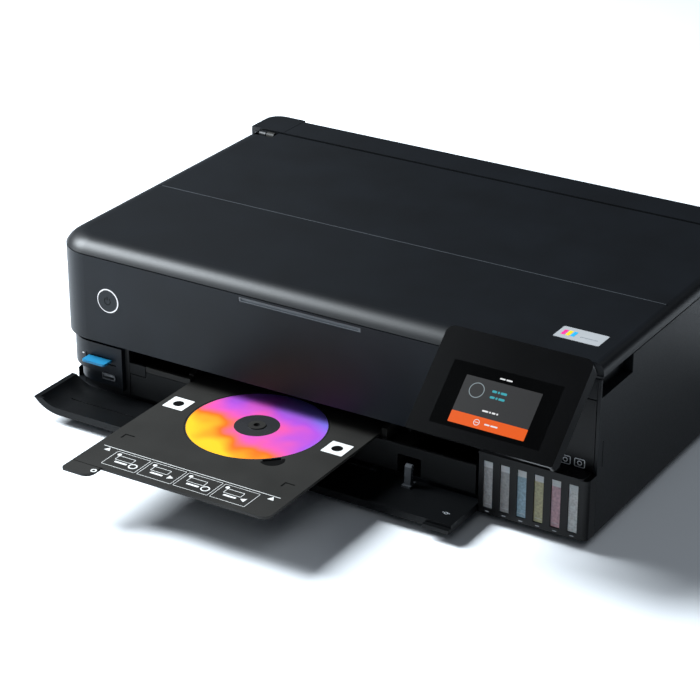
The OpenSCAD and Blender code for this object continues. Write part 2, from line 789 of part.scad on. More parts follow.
module control_panel() color("#1b1d21") tilted() difference() {
  union() {
    translate([0, pivot_y, 0]) rotate([90, 0, 0]) linear_extrude(cp_t) difference() {
      translate([cp_left, cp_low]) square([cp_w, cp_h]);
      corner_cut(cp_left, body_top, -1, 1, cp_r);
      corner_cut(cp_right, body_top, 1, 1, cp_r);
      corner_cut(cp_left, cp_low, -1, -1, 2);
      corner_cut(cp_right, cp_low, 1, -1, 2);
    }
    rod_x(ear_l + cp_ear_w + fit, ear_r - fit, pivot_y, pivot_z, knuckle_r);
    rod_x(ear_l - 2, ear_r + cp_ear_w + 2, pivot_y, pivot_z, cp_pin_r);
  }
  box(screen_x0, screen_x0 + screen_w, cp_front - 1, cp_front + screen_t,
    screen_top - screen_h, screen_top);
  for (x = [ear_l, ear_r])
    difference() {
      box(x - fit, x + cp_ear_w + fit, pivot_y - knuckle_r - 0.6, pivot_y + 8,
        pivot_z - knuckle_r - 8, body_top + 1);
      rod_x(x - 1, x + cp_ear_w + 1, pivot_y, pivot_z, cp_pin_r);
    }
  box(cp_left + 6, cp_right - 6, pivot_y - 4, pivot_y + 1, cp_low + 6, pivot_z - 24);
  box(cp_left + 3, cp_right - 3, lip_y, pivot_y + 1, cp_low - 1, cp_low + 4.8);
  sweep_x(cp_left - 1, cp_right + 1)
    polygon([[pivot_y + 1, cp_low - 1], [pivot_y - 5, cp_low - 1], [pivot_y + 1, cp_low + 7]]);
}

module touch_screen() color("#0b0c0e") tilted()
  box(screen_x0 + 0.1, screen_x0 + screen_w - 0.1, cp_front, cp_front + screen_t,
    screen_top - screen_h + 0.1,
    screen_top - 0.1);

module panel_bracket() color("#26292d") {
  difference() {
    union() {
      box(fascia_right + 0.4, inner_x - fit, recess_y, recess_y + wall, tank_top + 0.5, rim_z);
      for (x = [ear_l, ear_r]) {
        rod_x(x, x + cp_ear_w, pivot_y, pivot_z, knuckle_r);
        sweep_x(x, x + cp_ear_w)
          polygon([[pivot_y - 1, pivot_z - knuckle_r + 0.1], [recess_y + wall, rim_z - 22],
            [recess_y + wall, rim_z], [pivot_y + knuckle_r - 0.3, pivot_z]]);
      }
    }
    for (x = [ear_l, ear_r])
      rod_x(x - 1, x + cp_ear_w + 1, pivot_y, pivot_z, cp_pin_r + pin_fit);
    box(half_w - wall - finger_depth - fit, half_w, recess_y - 1, recess_y + wall + 1,
      finger_z0 - 2 - fit, rim_z + 1);
  }
}

// Print mechanism

plate_t = 2;
left_plate = -half_w + 39.5;
right_plate = half_w - 18.5;
chassis_front = 88;
chassis_back = 232;
chassis_top = 112;
rail_y = 200;
rail_low = 62;
feed_y = 205;
exit_y = feed_y - roller_gap;
roller_z = 35.4;
roller_left = left_plate + 18;
roller_right = right_plate - 99;
axle_r = 4;
gear_t = 7;
gear_x = left_plate - 1.5 - gear_t;
bearing_x = roller_right + 3;
pitch_roller = gear_m * roller_teeth / 2;
pitch_idler = gear_m * idler_teeth / 2;
pitch_pinion = gear_m * pinion_teeth / 2;
idler_y = (feed_y + exit_y) / 2;
idler_z = roller_z + sqrt(pow(pitch_roller + pitch_idler, 2) - pow(roller_gap / 2, 2));
pinion_dir = 62;
pinion_y = feed_y + (pitch_roller + pitch_pinion) * cos(pinion_dir);
pinion_z = roller_z + (pitch_roller + pitch_pinion) * sin(pinion_dir);
feed_dir = atan2(roller_z - idler_z, feed_y - idler_y);
exit_dir = atan2(roller_z - idler_z, exit_y - idler_y);
feed_phase = meshed(feed_dir, 0, idler_teeth, roller_teeth);
exit_phase = meshed(exit_dir, 0, idler_teeth, roller_teeth);
pinion_phase = meshed(pinion_dir, feed_phase, roller_teeth, pinion_teeth);
shaft_y = 164;
shaft_z = 82;
pulley_y = 193;
pulley_r = 6;
pulley_z = 94;
pulley_left = left_plate + 12;
pulley_right = right_plate - 13;
belt_t = 1.2;
belt_w = 5;

// Turn of a driven gear that puts a gap where the driving gear has a tooth
function meshed(dir, phase, driver, driven) =
  dir + 180 - 360 / driven * (0.5 - (dir - phase) * driver / 360);

module plate_holes() {
  for (p = [[feed_y, roller_z], [exit_y, roller_z]])
    rod_x(left_plate - 1, bearing_x + plate_t + 1, p[0], p[1], axle_r + pin_fit);
  rod_x(left_plate - 1, right_plate + plate_t + 1, shaft_y, shaft_z, shaft_r);
  rod_x(left_plate - 1, left_plate + plate_t + 1, idler_y, idler_z, 3);
  rod_x(left_plate - 1, left_plate + plate_t + 1, pinion_y, pinion_z, 5);
  for (x = [pulley_left, pulley_right])
    rod_y(rail_y - 1, rail_y + plate_t + 1, x, pulley_z, 2 + pin_fit);
}

module side_plate(x0) {
  sweep_x(x0, x0 + plate_t)
    polygon([[chassis_front, floor_top], [chassis_back, floor_top], [chassis_back, chassis_top - 30],
      [chassis_back - 22, chassis_top], [chassis_front + 40, chassis_top],
      [chassis_front, chassis_top - 36]]);
}

module chassis_frame() color("#9a9da1") difference() {
  union() {
    side_plate(left_plate);
    side_plate(right_plate);
    box(left_plate, right_plate + plate_t, rail_y, rail_y + plate_t, rail_low, chassis_top);
    box(left_plate, right_plate + plate_t, rail_y, rail_y + 14, chassis_top - plate_t, chassis_top);
    box(left_plate, right_plate + plate_t, beam_y, beam_y + plate_t, beam_low, beam_low + 18);
    box(left_plate, right_plate + plate_t, beam_y, beam_y + 10, beam_low + 16, beam_low + 18);
    box(bearing_x, bearing_x + plate_t, exit_y - 12, feed_y + 12, floor_top, tray_z - 2);
  }
  plate_holes();
  for (i = [0:7])
    box(left_plate + 32 + i * 50, left_plate + 62 + i * 50, rail_y - 1, rail_y + plate_t + 1,
      rail_low + 10, rail_low + 18);
}

module guide_shaft() color("#c9ccd0")
  rod_x(left_plate - 1, right_plate + plate_t + 3, shaft_y, shaft_z, shaft_r);

carriage_x0 = bearing_x + 3;
carriage_w = 76;
carriage_x1 = carriage_x0 + carriage_w;
carriage_y0 = 128;
carriage_y1 = 187;
carriage_z0 = 50;
carriage_z1 = 106;
carriage_step = carriage_z1 - 14;
clip_gap = 0.4;
strand_z = pulley_z - pulley_r - belt_t;

module carriage() color("#2c2f33") difference() {
  union() {
    box(carriage_x0, carriage_x1, carriage_y0, carriage_y1, carriage_z0, carriage_step);
    box(carriage_x0 + 6, carriage_x1 - 6, carriage_y0 + 6, carriage_y1 - 12,
      carriage_step - eps, carriage_z1);
    box(carriage_x0 + 26, carriage_x0 + 50, carriage_y1 - eps, pulley_y + belt_w / 2,
      strand_z - 4, strand_z - clip_gap);
  }
  rod_x(carriage_x0 - 1, carriage_x1 + 1, shaft_y, shaft_z, shaft_r + pin_fit);
  for (i = [0:5])
    box(carriage_x0 + 11 + i * 9.4, carriage_x0 + 18 + i * 9.4, carriage_y0 + 10, carriage_y0 + 22,
      carriage_z1 - 10, carriage_z1 + 1);
}

module print_head() color("#6b6f74")
  box(carriage_x0 + 12, carriage_x1 - 12, carriage_y0 + 10, carriage_y0 + 50,
    carriage_z0 - 2.6, carriage_z0);

module carriage_belt() color("#141414") difference() {
  union() {
    box(pulley_left, pulley_right, pulley_y - belt_w / 2, pulley_y + belt_w / 2,
      strand_z, pulley_z + pulley_r + belt_t);
    for (x = [pulley_left, pulley_right])
      rod_y(pulley_y - belt_w / 2, pulley_y + belt_w / 2, x, pulley_z, pulley_r + belt_t);
  }
  box(pulley_left, pulley_right, pulley_y - belt_w, pulley_y + belt_w,
    pulley_z - pulley_r, pulley_z + pulley_r);
  for (x = [pulley_left, pulley_right])
    rod_y(pulley_y - belt_w, pulley_y + belt_w, x, pulley_z, pulley_r);
}

module pulley(x) {
  rod_y(pulley_y - belt_w / 2, pulley_y + belt_w / 2, x, pulley_z, pulley_r - 0.1);
  rod_y(pulley_y - belt_w / 2 - 1.2, pulley_y - belt_w / 2 - 0.2, x, pulley_z, pulley_r + 1.5);
  rod_y(pulley_y - belt_w / 2 - 0.3, rail_y + plate_t + 0.7, x, pulley_z, 2);
}

module drive_pulley() color("#b08d3c") pulley(pulley_right);

module idler_pulley() color("#b08d3c") pulley(pulley_left);

module carriage_motor() color("#77797d") {
  rod_y(rail_y + plate_t + 1, rail_y + plate_t + 26, pulley_right - 4, pulley_z - 4, 13);
  for (x = [-10, 10])
    rod_y(rail_y + plate_t, rail_y + plate_t + 2, pulley_right - 4 + x, pulley_z - 10, 2);
}

module feed_motor() color("#77797d") {
  rod_x(left_plate + plate_t + 1, left_plate + plate_t + 24, pinion_y, pinion_z, 12);
  for (z = [-8, 8])
    rod_x(left_plate + plate_t, left_plate + plate_t + 2, pinion_y + 4, pinion_z + z, 2);
}

module toothed(teeth, phase, y, z) {
  translate([gear_x, y, z]) rotate([90, 0, 90]) linear_extrude(gear_t) gear_profile(teeth, phase);
}

module motor_pinion() color("#c2a14d") {
  toothed(pinion_teeth, pinion_phase, pinion_y, pinion_z);
  rod_x(gear_x, left_plate + plate_t + 0.7, pinion_y, pinion_z, 2.2);
}

module roller(y, phase) {
  rod_x(roller_left, roller_right, y, roller_z, roller_r);
  rod_x(gear_x - 1, bearing_x + plate_t + 2, y, roller_z, axle_r);
  toothed(roller_teeth, phase, y, roller_z);
}

module feed_roller() color("#55585c") roller(feed_y, feed_phase);

module exit_roller() color("#3d4044") roller(exit_y, exit_phase);

module idler_gear() color("#d8d8d2") difference() {
  union() {
    toothed(idler_teeth, 0, idler_y, idler_z);
    rod_x(gear_x, left_plate + plate_t + 1, idler_y, idler_z, 3 - pin_fit);
  }
  for (a = [0:60:300])
    rod_x(gear_x - 1, gear_x + gear_t + 1, idler_y + 20 * cos(a), idler_z + 20 * sin(a), 7);
}

pinch_y = feed_y + 4;
pinch_r = 3;

module pinch_rollers() color("#4b4e52") {
  for (i = [0:5]) {
    x = roller_left + 24 + i * 56;
    rod_x(x, x + 30, pinch_y, tray_z + 1 + pinch_r, pinch_r);
    for (e = [x - 3, x + 30 - eps])
      box(e, e + 3, rail_y + plate_t, pinch_y + 2.5, tray_z + 1.5, rail_low + 6);
  }
}

platen_front = exit_y + 10;
platen_back = feed_y - 10;
platen_low = 30;
platen_top = 40;
rib_n = 18;
rib_w = 3;
rib_x = roller_left + 8;
rib_pitch = (roller_right - 3.8 - rib_w - rib_x) / (rib_n - 1);

module platen() color("#2f3236") difference() {
  union() {
    box(roller_left + 4, roller_right - 2, platen_front, platen_back, platen_low, platen_top);
    for (i = [0:rib_n - 1])
      box(rib_x + i * rib_pitch, rib_x + i * rib_pitch + rib_w, platen_front + 4, platen_back - 4,
        platen_top - eps, tray_z - tray_t - 1);
    box(left_plate + plate_t + 0.2, bearing_x, 150, 166, platen_low, platen_low + 4);
  }
  box(roller_left + 14, roller_right - 12, platen_front + 12, platen_back - 12,
    platen_top - 4, platen_top - 0.01);
}

cap_front = carriage_y0 + 2;

module capping_station() color("#3a3d42") difference() {
  box(carriage_x0 + 5, carriage_x1 - 4, cap_front, cap_front + 54, floor_top, carriage_z0 - 3.2);
  box(carriage_x0 + 14, carriage_x1 - 14, cap_front + 10, cap_front + 46, carriage_z0 - 8, carriage_z0);
  box(carriage_x0 + 8, carriage_x1 - 7, cap_front + 3, cap_front + 7, carriage_z0 - 7, carriage_z0);
}

mbox_x = half_w - 149.5;
mbox_w = 60;
mbox_h = 46;
mbox_front = body_d - 92;
mbox_top = floor_top + mbox_h;

module maintenance_box() color("#d9d9d4") difference() {
  box(mbox_x, mbox_x + mbox_w, mbox_front, pan_back - 2 - fit, floor_top, mbox_top);
  for (i = [0:3])
    box(mbox_x + 6 + i * 13, mbox_x + 15 + i * 13, mbox_front + 6, pan_back - 18,
      mbox_top - 3, mbox_top + 1);
}

board_x = -half_w + 13.5;
board_t = 1.6;
board_front = 70;
board_back = 255;
board_low = floor_top + 30;
board_top = floor_top + 100;

module mainboard() color("#2c6b3f") {
  box(board_x, board_x + board_t, board_front, board_back, board_low, board_top);
  box(board_x + board_t - eps, board_x + 7, 150, 185, board_low + 20, board_low + 40);
  for (y = [board_front + 10, board_back - 10], z = [board_low + 8, board_top - 8])
    rod_x(-inner_x, board_x + eps, y, z, 3);
}

psu_x = half_w - 79.5;
psu_w = 56;
psu_front = body_d - 109;
psu_top = floor_top + 46;

module power_supply() color("#8f9296") difference() {
  box(psu_x, psu_x + psu_w, psu_front, body_d - 24, floor_top, psu_top);
  for (i = [0:8])
    box(psu_x + 8, psu_x + psu_w - 8, psu_front + 7 + i * 8, psu_front + 10 + i * 8,
      psu_top - 2, psu_top + 1);
}

chute_left = left_plate + 10;
chute_right = mbox_x - 4;
chute_front = feed_y + 35;
chute_back = body_d - 7;
chute_wall = 3;

// Station along the chute, from its lower end at the feed roller to its upper end at the rear
function chute_y(share) = chute_front + share * (chute_back - chute_front);

module feed_chute() color("#303338") {
  sweep_x(chute_left, chute_right) {
    polygon([[chute_back - 29, 132], [chute_back - 47, 85], [chute_y(0.215), 58.5], [chute_y(0), 52.5],
      [chute_y(0), 50], [chute_y(0.234), 56], [chute_back - 44, 83.5], [chute_back - 26, 132]]);
    polygon([[chute_back - 3, 138], [chute_back - 29, 70], [chute_y(0.467), 53], [chute_y(0.477), 50.5],
      [chute_back - 26, 68], [chute_back, 138]]);
    translate([chute_back - 1.5, 132]) square([side_rear - chute_back + 1.5, 6]);
  }
  for (x = [chute_left, chute_right - chute_wall])
    sweep_x(x, x + chute_wall)
      polygon([[chute_back - 47, 84], [chute_back - 28, 131], [chute_back - 2, 137], [chute_back - 27, 70]]);
}

// Scanner unit and document cover

unit_x = half_w - 12.3;
unit_front = 18;
unit_back = lid_d - 10;
unit_low = 118;
unit_wall = 3;
glass_x0 = -172;
glass_x1 = 152;
glass_y0 = 40;
glass_y1 = 264;
glass_t = 3;
rebate = 5;
rail_r = 3;
bar_y0 = glass_y0 + 6;
bar_y1 = glass_y1 - 6;
bar_w = 18;
bar_x0 = glass_x0 + 8;
bar_z0 = unit_low + unit_wall + rail_r + fit;
tower_x = half_w - 29.5;
tower_w = 8;
bar_rail_y = (glass_y0 + glass_y1) / 2;

module scanner_unit() color("#24272b") {
  difference() {
    union() {
      difference() {
        box(-unit_x, unit_x, unit_front, unit_back, unit_low, rim_z);
        box(-unit_x + unit_wall, unit_x - unit_wall, unit_front + unit_wall, unit_back - unit_wall,
          unit_low + unit_wall, rim_z - unit_wall - 1);
        box(glass_x0 + rebate, glass_x1 - rebate, glass_y0 + rebate, glass_y1 - rebate,
          rim_z - 10, rim_z + 1);
        box(glass_x0 - fit, glass_x1 + fit, glass_y0 - fit, glass_y1 + fit, rim_z - glass_t, rim_z + 1);
      }
      rod_x(glass_x0, glass_x1, bar_rail_y, unit_low + unit_wall, rail_r);
      for (s = [0, 1])
        mirror([s, 0, 0])
          sweep_x(tower_x, tower_x + tower_w)
            polygon([[unit_back - 4, rim_z - 20], [unit_back, rim_z - 20], [hinge_y + 2.6, hinge_z - 2.4],
              [hinge_y - 2, hinge_z - 1], [unit_back - 4, rim_z]]);
      for (s = [0, 1])
        mirror([s, 0, 0]) hinge_eye(tower_x, tower_w);
    }
    for (s = [0, 1])
      mirror([s, 0, 0]) rod_x(tower_x - 1, tower_x + tower_w + 1, hinge_y, hinge_z, lid_pin_r + pin_fit);
  }
}

module scanner_glass() color("#9fb8bd")
  box(glass_x0, glass_x1, glass_y0, glass_y1, rim_z - glass_t, rim_z - 0.1);

module scan_bar() color("#3c4044") {
  difference() {
    box(bar_x0, bar_x0 + bar_w, bar_y0, bar_y1, bar_z0 - fit, rim_z - 4.6);
    rod_x(bar_x0 - 1, bar_x0 + bar_w + 1, bar_rail_y, unit_low + unit_wall, rail_r + fit);
    box(bar_x0 + 4, bar_x0 + bar_w - 4, bar_y0 + 3, bar_y1 - 3, rim_z - 6, rim_z);
  }
}

lid_notch_x0 = half_w - 33.5;
lid_notch_x1 = half_w - 11.5;
mat_t = 4;
mat_in = 10;
panel_clear = 16;

nose_y = sqrt(pow(bullnose_r, 2) - pow(bullnose_r - lid_t, 2));

module lid_profile() {
  difference() {
    union() {
      difference() {
        translate([0, seam_z]) square([hinge_y, lid_t]);
        translate([-1, seam_z - 1]) square([nose_y + 1, lid_t + 2]);
      }
      intersection() {
        translate([nose_y, body_top - bullnose_r]) circle(bullnose_r, $fn = 96);
        translate([0, seam_z]) square([nose_y + eps, lid_t]);
      }
      translate([hinge_y, hinge_z]) circle(lid_d - hinge_y);
      polygon([[hinge_y - 1, seam_z], [hinge_y, seam_z], [lid_d, hinge_z], [hinge_y - 1, hinge_z]]);
    }
    translate([groove_y - groove_w / 2, body_top - 0.7]) square([groove_w, 1]);
  }
}

module lid_ends() {
  rotate([90, 0, 0]) translate([0, 0, -lid_d - 1]) linear_extrude(lid_d + 2) difference() {
    translate([-half_w, seam_z - 1]) square([body_w, lid_t + 1]);
    corner_cut(half_w, body_top, 1, 1, lid_side_r);
  }
}

// Half section of the lid from its corner's axis outwards
module lid_corner_profile() {
  intersection() {
    translate([corner_r - nose_y, body_top - bullnose_r]) circle(bullnose_r, $fn = 96);
    translate([corner_r - nose_y - eps, seam_z]) square([nose_y + eps, lid_t]);
  }
  translate([0, seam_z]) square([corner_r - nose_y, lid_t]);
}

module lid_body() {
  sweep_x(-half_w + corner_r, half_w) lid_profile();
  translate([-half_w + corner_r, corner_r, 0]) rotate_extrude() lid_corner_profile();
  intersection() {
    translate([-half_w + corner_r, corner_r, 0]) rotate([90, 0, 180]) linear_extrude(lid_d - corner_r + 1)
      lid_corner_profile();
    sweep_x(-half_w, -half_w + corner_r + eps) lid_profile();
  }
}

module document_cover() color("#1c1f24") difference() {
  intersection() {
    lid_body();
    lid_ends();
  }
  box(fascia_right + 0.6, half_w + 1, -1, panel_clear, seam_z - 1, body_top + 1);
  box(glass_x0 - mat_in - 1, glass_x1 + mat_in + 1, glass_y0 - mat_in - 1, glass_y1 + mat_in + 1,
    seam_z - 1, seam_z + mat_t);
  box(glass_x0, glass_x1, glass_y0, glass_y1, seam_z + mat_t - 1, body_top - 2.5);
  for (s = [0, 1])
    mirror([s, 0, 0]) {
      box(lid_notch_x0, lid_notch_x1, hinge_y - 12, lid_d + 1, seam_z - 1, body_top + 1);
      rod_x(lid_notch_x0 - 9, lid_notch_x1 + 5, hinge_y, hinge_z, lid_pin_r + pin_fit);
    }
  box(badge_x - badge_w / 2, badge_x + badge_w / 2, badge_y - badge_d / 2, badge_y + badge_d / 2,
    body_top - badge_t, body_top + 1);
}

badge_x = half_w - 38;
badge_y = 52.3;
badge_w = 40;
badge_d = 21;
badge_t = 0.6;

module document_mat() color("#eceae4")
  box(glass_x0 - mat_in, glass_x1 + mat_in, glass_y0 - mat_in, glass_y1 + mat_in,
    seam_z - 0.2, seam_z + mat_t);

module badge_plate() color("#c8c8c8")
  translate([badge_x, badge_y, body_top - badge_t]) linear_extrude(badge_t + 0.2) difference() {
    square([badge_w - 0.2, badge_d - 0.2], center = true);
    for (sx = [-1, 1], sy = [-1, 1])
      corner_cut(sx * (badge_w / 2 - 0.1), sy * (badge_d / 2 - 0.1), sx, sy, 1.5);
  }

module lid_hinge_pins() color("#b9bcc0") {
  for (s = [0, 1])
    mirror([s, 0, 0]) rod_x(lid_notch_x0 - 8, lid_notch_x1 + 4, hinge_y, hinge_z, lid_pin_r);
}

// Rear feed cover, shut

feed_pin_y = body_d - 5;
feed_pin_z = body_top - 5;
feed_pin_r = 1.5;

module rear_feed_cover() color("#1c1f24") difference() {
  union() {
    sweep_x(-shoulder_x + 0.5, shoulder_x - 0.5) difference() {
      translate([strip_front, body_top - 5]) square([body_d - strip_front, 5]);
      corner_cut(body_d, body_top, 1, 1, 4.9);
    }
    for (s = [0, 1])
      mirror([s, 0, 0]) rod_x(shoulder_x - 12, shoulder_x + 6, feed_pin_y, feed_pin_z, feed_pin_r);
  }
  box(-shoulder_x + 14, shoulder_x - 14, strip_front + 3, body_d - 8, body_top - 6, body_top - 2.4);
}

// Sets the model on its origin, under the middle of its outline

module placed() {
  translate([0, -origin_y, 0]) children();
}

placed() base_pan();
placed() rubber_feet();
placed() side_cover_left();
placed() side_cover_right();
placed() rear_cover();
placed() front_panel();
placed() grip_strip();
placed() power_ring();
placed() power_button();
placed() card_slot_module();
placed() usb_port();
placed() memory_card();
placed() front_cover();
placed() cover_hook();
placed() paper_cassette();
placed() output_tray();
placed() edge_guide_left();
placed() edge_guide_right();
placed() disc_tray();
placed() disc();
placed() tray_guide();
placed() tank_housing();
placed() ink_tanks();
placed() tank_caps();
placed() tank_cover();
placed() panel_bracket();
placed() control_panel();
placed() touch_screen();
placed() chassis_frame();
placed() guide_shaft();
placed() carriage();
placed() print_head();
placed() carriage_belt();
placed() drive_pulley();
placed() idler_pulley();
placed() carriage_motor();
placed() feed_motor();
placed() motor_pinion();
placed() feed_roller();
placed() idler_gear();
placed() exit_roller();
placed() pinch_rollers();
placed() platen();
placed() capping_station();
placed() maintenance_box();
placed() mainboard();
placed() power_supply();
placed() ac_inlet();
placed() feed_chute();
placed() scanner_unit();
placed() scanner_glass();
placed() scan_bar();
placed() document_cover();
placed() document_mat();
placed() badge_plate();
placed() lid_hinge_pins();
placed() rear_feed_cover();
placed() case_screws();
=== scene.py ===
"""Looks of a six-tank desktop printer with its front cover open and its disc tray out."""

import json
import logging
import math
from dataclasses import dataclass, field
from enum import Enum

import bpy
from mathutils import Matrix, Vector


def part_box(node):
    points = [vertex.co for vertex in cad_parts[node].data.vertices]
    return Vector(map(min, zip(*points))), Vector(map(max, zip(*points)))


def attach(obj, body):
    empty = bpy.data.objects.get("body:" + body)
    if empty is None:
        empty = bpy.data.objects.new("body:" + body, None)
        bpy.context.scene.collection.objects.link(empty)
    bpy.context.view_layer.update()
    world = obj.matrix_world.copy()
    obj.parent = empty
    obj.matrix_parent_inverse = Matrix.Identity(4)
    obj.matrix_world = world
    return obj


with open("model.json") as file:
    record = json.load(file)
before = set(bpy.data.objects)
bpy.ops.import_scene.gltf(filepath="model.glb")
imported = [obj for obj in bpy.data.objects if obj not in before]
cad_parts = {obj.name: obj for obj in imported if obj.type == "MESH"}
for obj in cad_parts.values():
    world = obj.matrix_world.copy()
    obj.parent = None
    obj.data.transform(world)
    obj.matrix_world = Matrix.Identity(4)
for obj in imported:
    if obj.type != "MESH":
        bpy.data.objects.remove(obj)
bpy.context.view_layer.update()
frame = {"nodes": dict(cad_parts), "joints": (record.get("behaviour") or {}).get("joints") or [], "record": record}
LOG = logging.getLogger("printer")
MM = 0.001
# Thickness of a printed or lit film, in metres
PRINT_T = 0.00008
# Sockets of a Mix node that works on colours
MIX_FACTOR, MIX_A, MIX_B, MIX_RESULT = 0, 6, 7, 2

Point = tuple[float, float, float]
Rect = tuple[float, float, float, float]


def linear(code: str, alpha: float = 1.0) -> tuple[float, float, float, float]:
    """Turns an sRGB hex colour to linear light.

    Args:
        code: Six hex digits after a hash sign.
        alpha: Opacity of the colour.

    Returns:
        Red, green, blue and alpha in linear light.
    """
    channels = [int(code[i:i + 2], 16) / 255 for i in (1, 3, 5)]
    curve = [c / 12.92 if c <= 0.04045 else ((c + 0.055) / 1.055) ** 2.4 for c in channels]
    return (curve[0], curve[1], curve[2], alpha)


def per_mm(size: float) -> float:
    """Noise scale that gives features of a size in millimetres on coordinates in metres."""
    return 1 / (size * MM)


def add_node(tree: bpy.types.NodeTree, kind: str, links: dict | None = None,
             **settings: object) -> bpy.types.Node:
    """Adds one shader node, sets it and links its inputs.

    Args:
        tree: Node tree that takes the node.
        kind: Blender's name for the node type.
        links: Output sockets by the name or index of the input that they feed.
        settings: Node properties, or values of inputs where no property has that name.

    Returns:
        The new node.
    """
    node = tree.nodes.new(kind)
    for key, value in settings.items():
        if hasattr(node, key):
            setattr(node, key, value)
        else:
            node.inputs[key.replace("_", " ")].default_value = value
    for key, socket in (links or {}).items():
        tree.links.new(socket, node.inputs[key])
    return node


class Blend(Enum):
    """How a colour ramp goes from one stop to the next."""

    SOFT = "LINEAR"
    STEPPED = "CONSTANT"


def set_ramp(node: bpy.types.Node, stops: list[tuple[float, str]],
             blend: Blend = Blend.SOFT) -> None:
    """Writes the stops of a colour ramp.

    Args:
        node: Colour ramp node.
        stops: Position and sRGB hex colour of each stop, in order.
        blend: How the ramp goes between its stops.
    """
    ramp = node.color_ramp
    ramp.interpolation = blend.value
    while len(ramp.elements) < len(stops):
        ramp.elements.new(1.0)
    for element, (place, code) in zip(ramp.elements, stops):
        element.position = place
        element.color = linear(code)


def new_material(name: str) -> tuple[bpy.types.Material, bpy.types.NodeTree, bpy.types.Node]:
    """Starts an empty material with a Principled shader on its output.

    Args:
        name: Name of the real material and its process.

    Returns:
        The material, its node tree and the Principled node.
    """
    material = bpy.data.materials.new(name)
    material.use_nodes = True
    tree = material.node_tree
    tree.nodes.clear()
    shader = add_node(tree, "ShaderNodeBsdfPrincipled")
    add_node(tree, "ShaderNodeOutputMaterial", {"Surface": shader.outputs["BSDF"]})
    return material, tree, shader


class Grain(Enum):
    """How a surface was made, which sets the stretch of its grain along X, Y and Z."""

    SPARK_ERODED = (1.0, 1.0, 1.0)
    BRUSHED_X = (0.04, 1.0, 1.0)
    BRUSHED_Y = (1.0, 0.04, 1.0)


# Where a finish's two tones stand in the slow noise
TONE_STOPS = (0.3, 0.75)
# Part of the fine noise that moves the roughness, and how far it moves it
GRAIN_SPAN = (0.25, 0.75)
GRAIN_SPREAD = (0.9, 1.12)
# Height of the grain, in metres
GRAIN_HEIGHT = 0.0002


@dataclass(frozen=True)
class Finish:
    """A solid finish with a fine grain, a slow drift of tone and a matching drift of roughness."""

    name: str
    colour: str
    light: str
    roughness: float
    metallic: float = 0.0
    ior: float = 1.5
    # Real mould grain is near 0.1 mm: it is drawn coarser, so that it shows
    grain_mm: float = 0.9
    grain_depth: float = 0.12
    drift_mm: float = 45.0
    transmission: float = 0.0
    grain: Grain = Grain.SPARK_ERODED

    def make(self) -> bpy.types.Material:
        """Builds the finish's material.

        Returns:
            The material, named for the real one.
        """
        material, tree, shader = new_material(self.name)
        coords = add_node(tree, "ShaderNodeTexCoord")
        turn = add_node(tree, "ShaderNodeMapping", {"Vector": coords.outputs["Object"]},
                        Scale=self.grain.value)
        fine = add_node(tree, "ShaderNodeTexNoise", {"Vector": turn.outputs["Vector"]},
                        Scale=per_mm(self.grain_mm), Detail=3.0)
        slow = add_node(tree, "ShaderNodeTexNoise", {"Vector": coords.outputs["Object"]},
                        Scale=per_mm(self.drift_mm), Detail=2.0)
        tone = add_node(tree, "ShaderNodeValToRGB", {"Fac": slow.outputs["Fac"]})
        set_ramp(tone, list(zip(TONE_STOPS, (self.colour, self.light))))
        smooth, dull = (self.roughness * spread for spread in GRAIN_SPREAD)
        rough = add_node(tree, "ShaderNodeMapRange", {"Value": fine.outputs["Fac"]},
                         From_Min=GRAIN_SPAN[0], From_Max=GRAIN_SPAN[1],
                         To_Min=smooth, To_Max=min(1.0, dull))
        bump = add_node(tree, "ShaderNodeBump", {"Height": fine.outputs["Fac"]},
                        Strength=self.grain_depth, Distance=GRAIN_HEIGHT)
        tree.links.new(tone.outputs["Color"], shader.inputs["Base Color"])
        tree.links.new(rough.outputs["Result"], shader.inputs["Roughness"])
        tree.links.new(bump.outputs["Normal"], shader.inputs["Normal"])
        shader.inputs["Metallic"].default_value = self.metallic
        shader.inputs["IOR"].default_value = self.ior
        shader.inputs["Transmission Weight"].default_value = self.transmission
        return material


# Colour of a lit film without its lamp, and how far its fleck moves the roughness
UNLIT = "#040404"
FLECK_SPREAD = (0.8, 1.2)


@dataclass(frozen=True)
class LitFinish:
    """A printed film, or a back-lit one that gives off a little light of its own."""

    name: str
    colour: str
    glow: float
    roughness: float = 0.35
    ior: float = 1.4
    # A display's pixels are near 0.15 mm: the fleck is drawn coarser, so that it shows
    fleck_mm: float = 0.6

    def make(self) -> bpy.types.Material:
        """Builds the film's material, with a faint fleck in its roughness.

        Returns:
            The material.
        """
        material, tree, shader = new_material(self.name)
        coords = add_node(tree, "ShaderNodeTexCoord")
        fleck = add_node(tree, "ShaderNodeTexNoise", {"Vector": coords.outputs["Object"]},
                         Scale=per_mm(self.fleck_mm), Detail=1.0)
        smooth, dull = (self.roughness * spread for spread in FLECK_SPREAD)
        rough = add_node(tree, "ShaderNodeMapRange", {"Value": fleck.outputs["Fac"]},
                         To_Min=smooth, To_Max=dull)
        tree.links.new(rough.outputs["Result"], shader.inputs["Roughness"])
        shader.inputs["Base Color"].default_value = linear(UNLIT if self.glow else self.colour)
        shader.inputs["Emission Color"].default_value = linear(self.colour)
        shader.inputs["Emission Strength"].default_value = self.glow
        shader.inputs["IOR"].default_value = self.ior
        return material


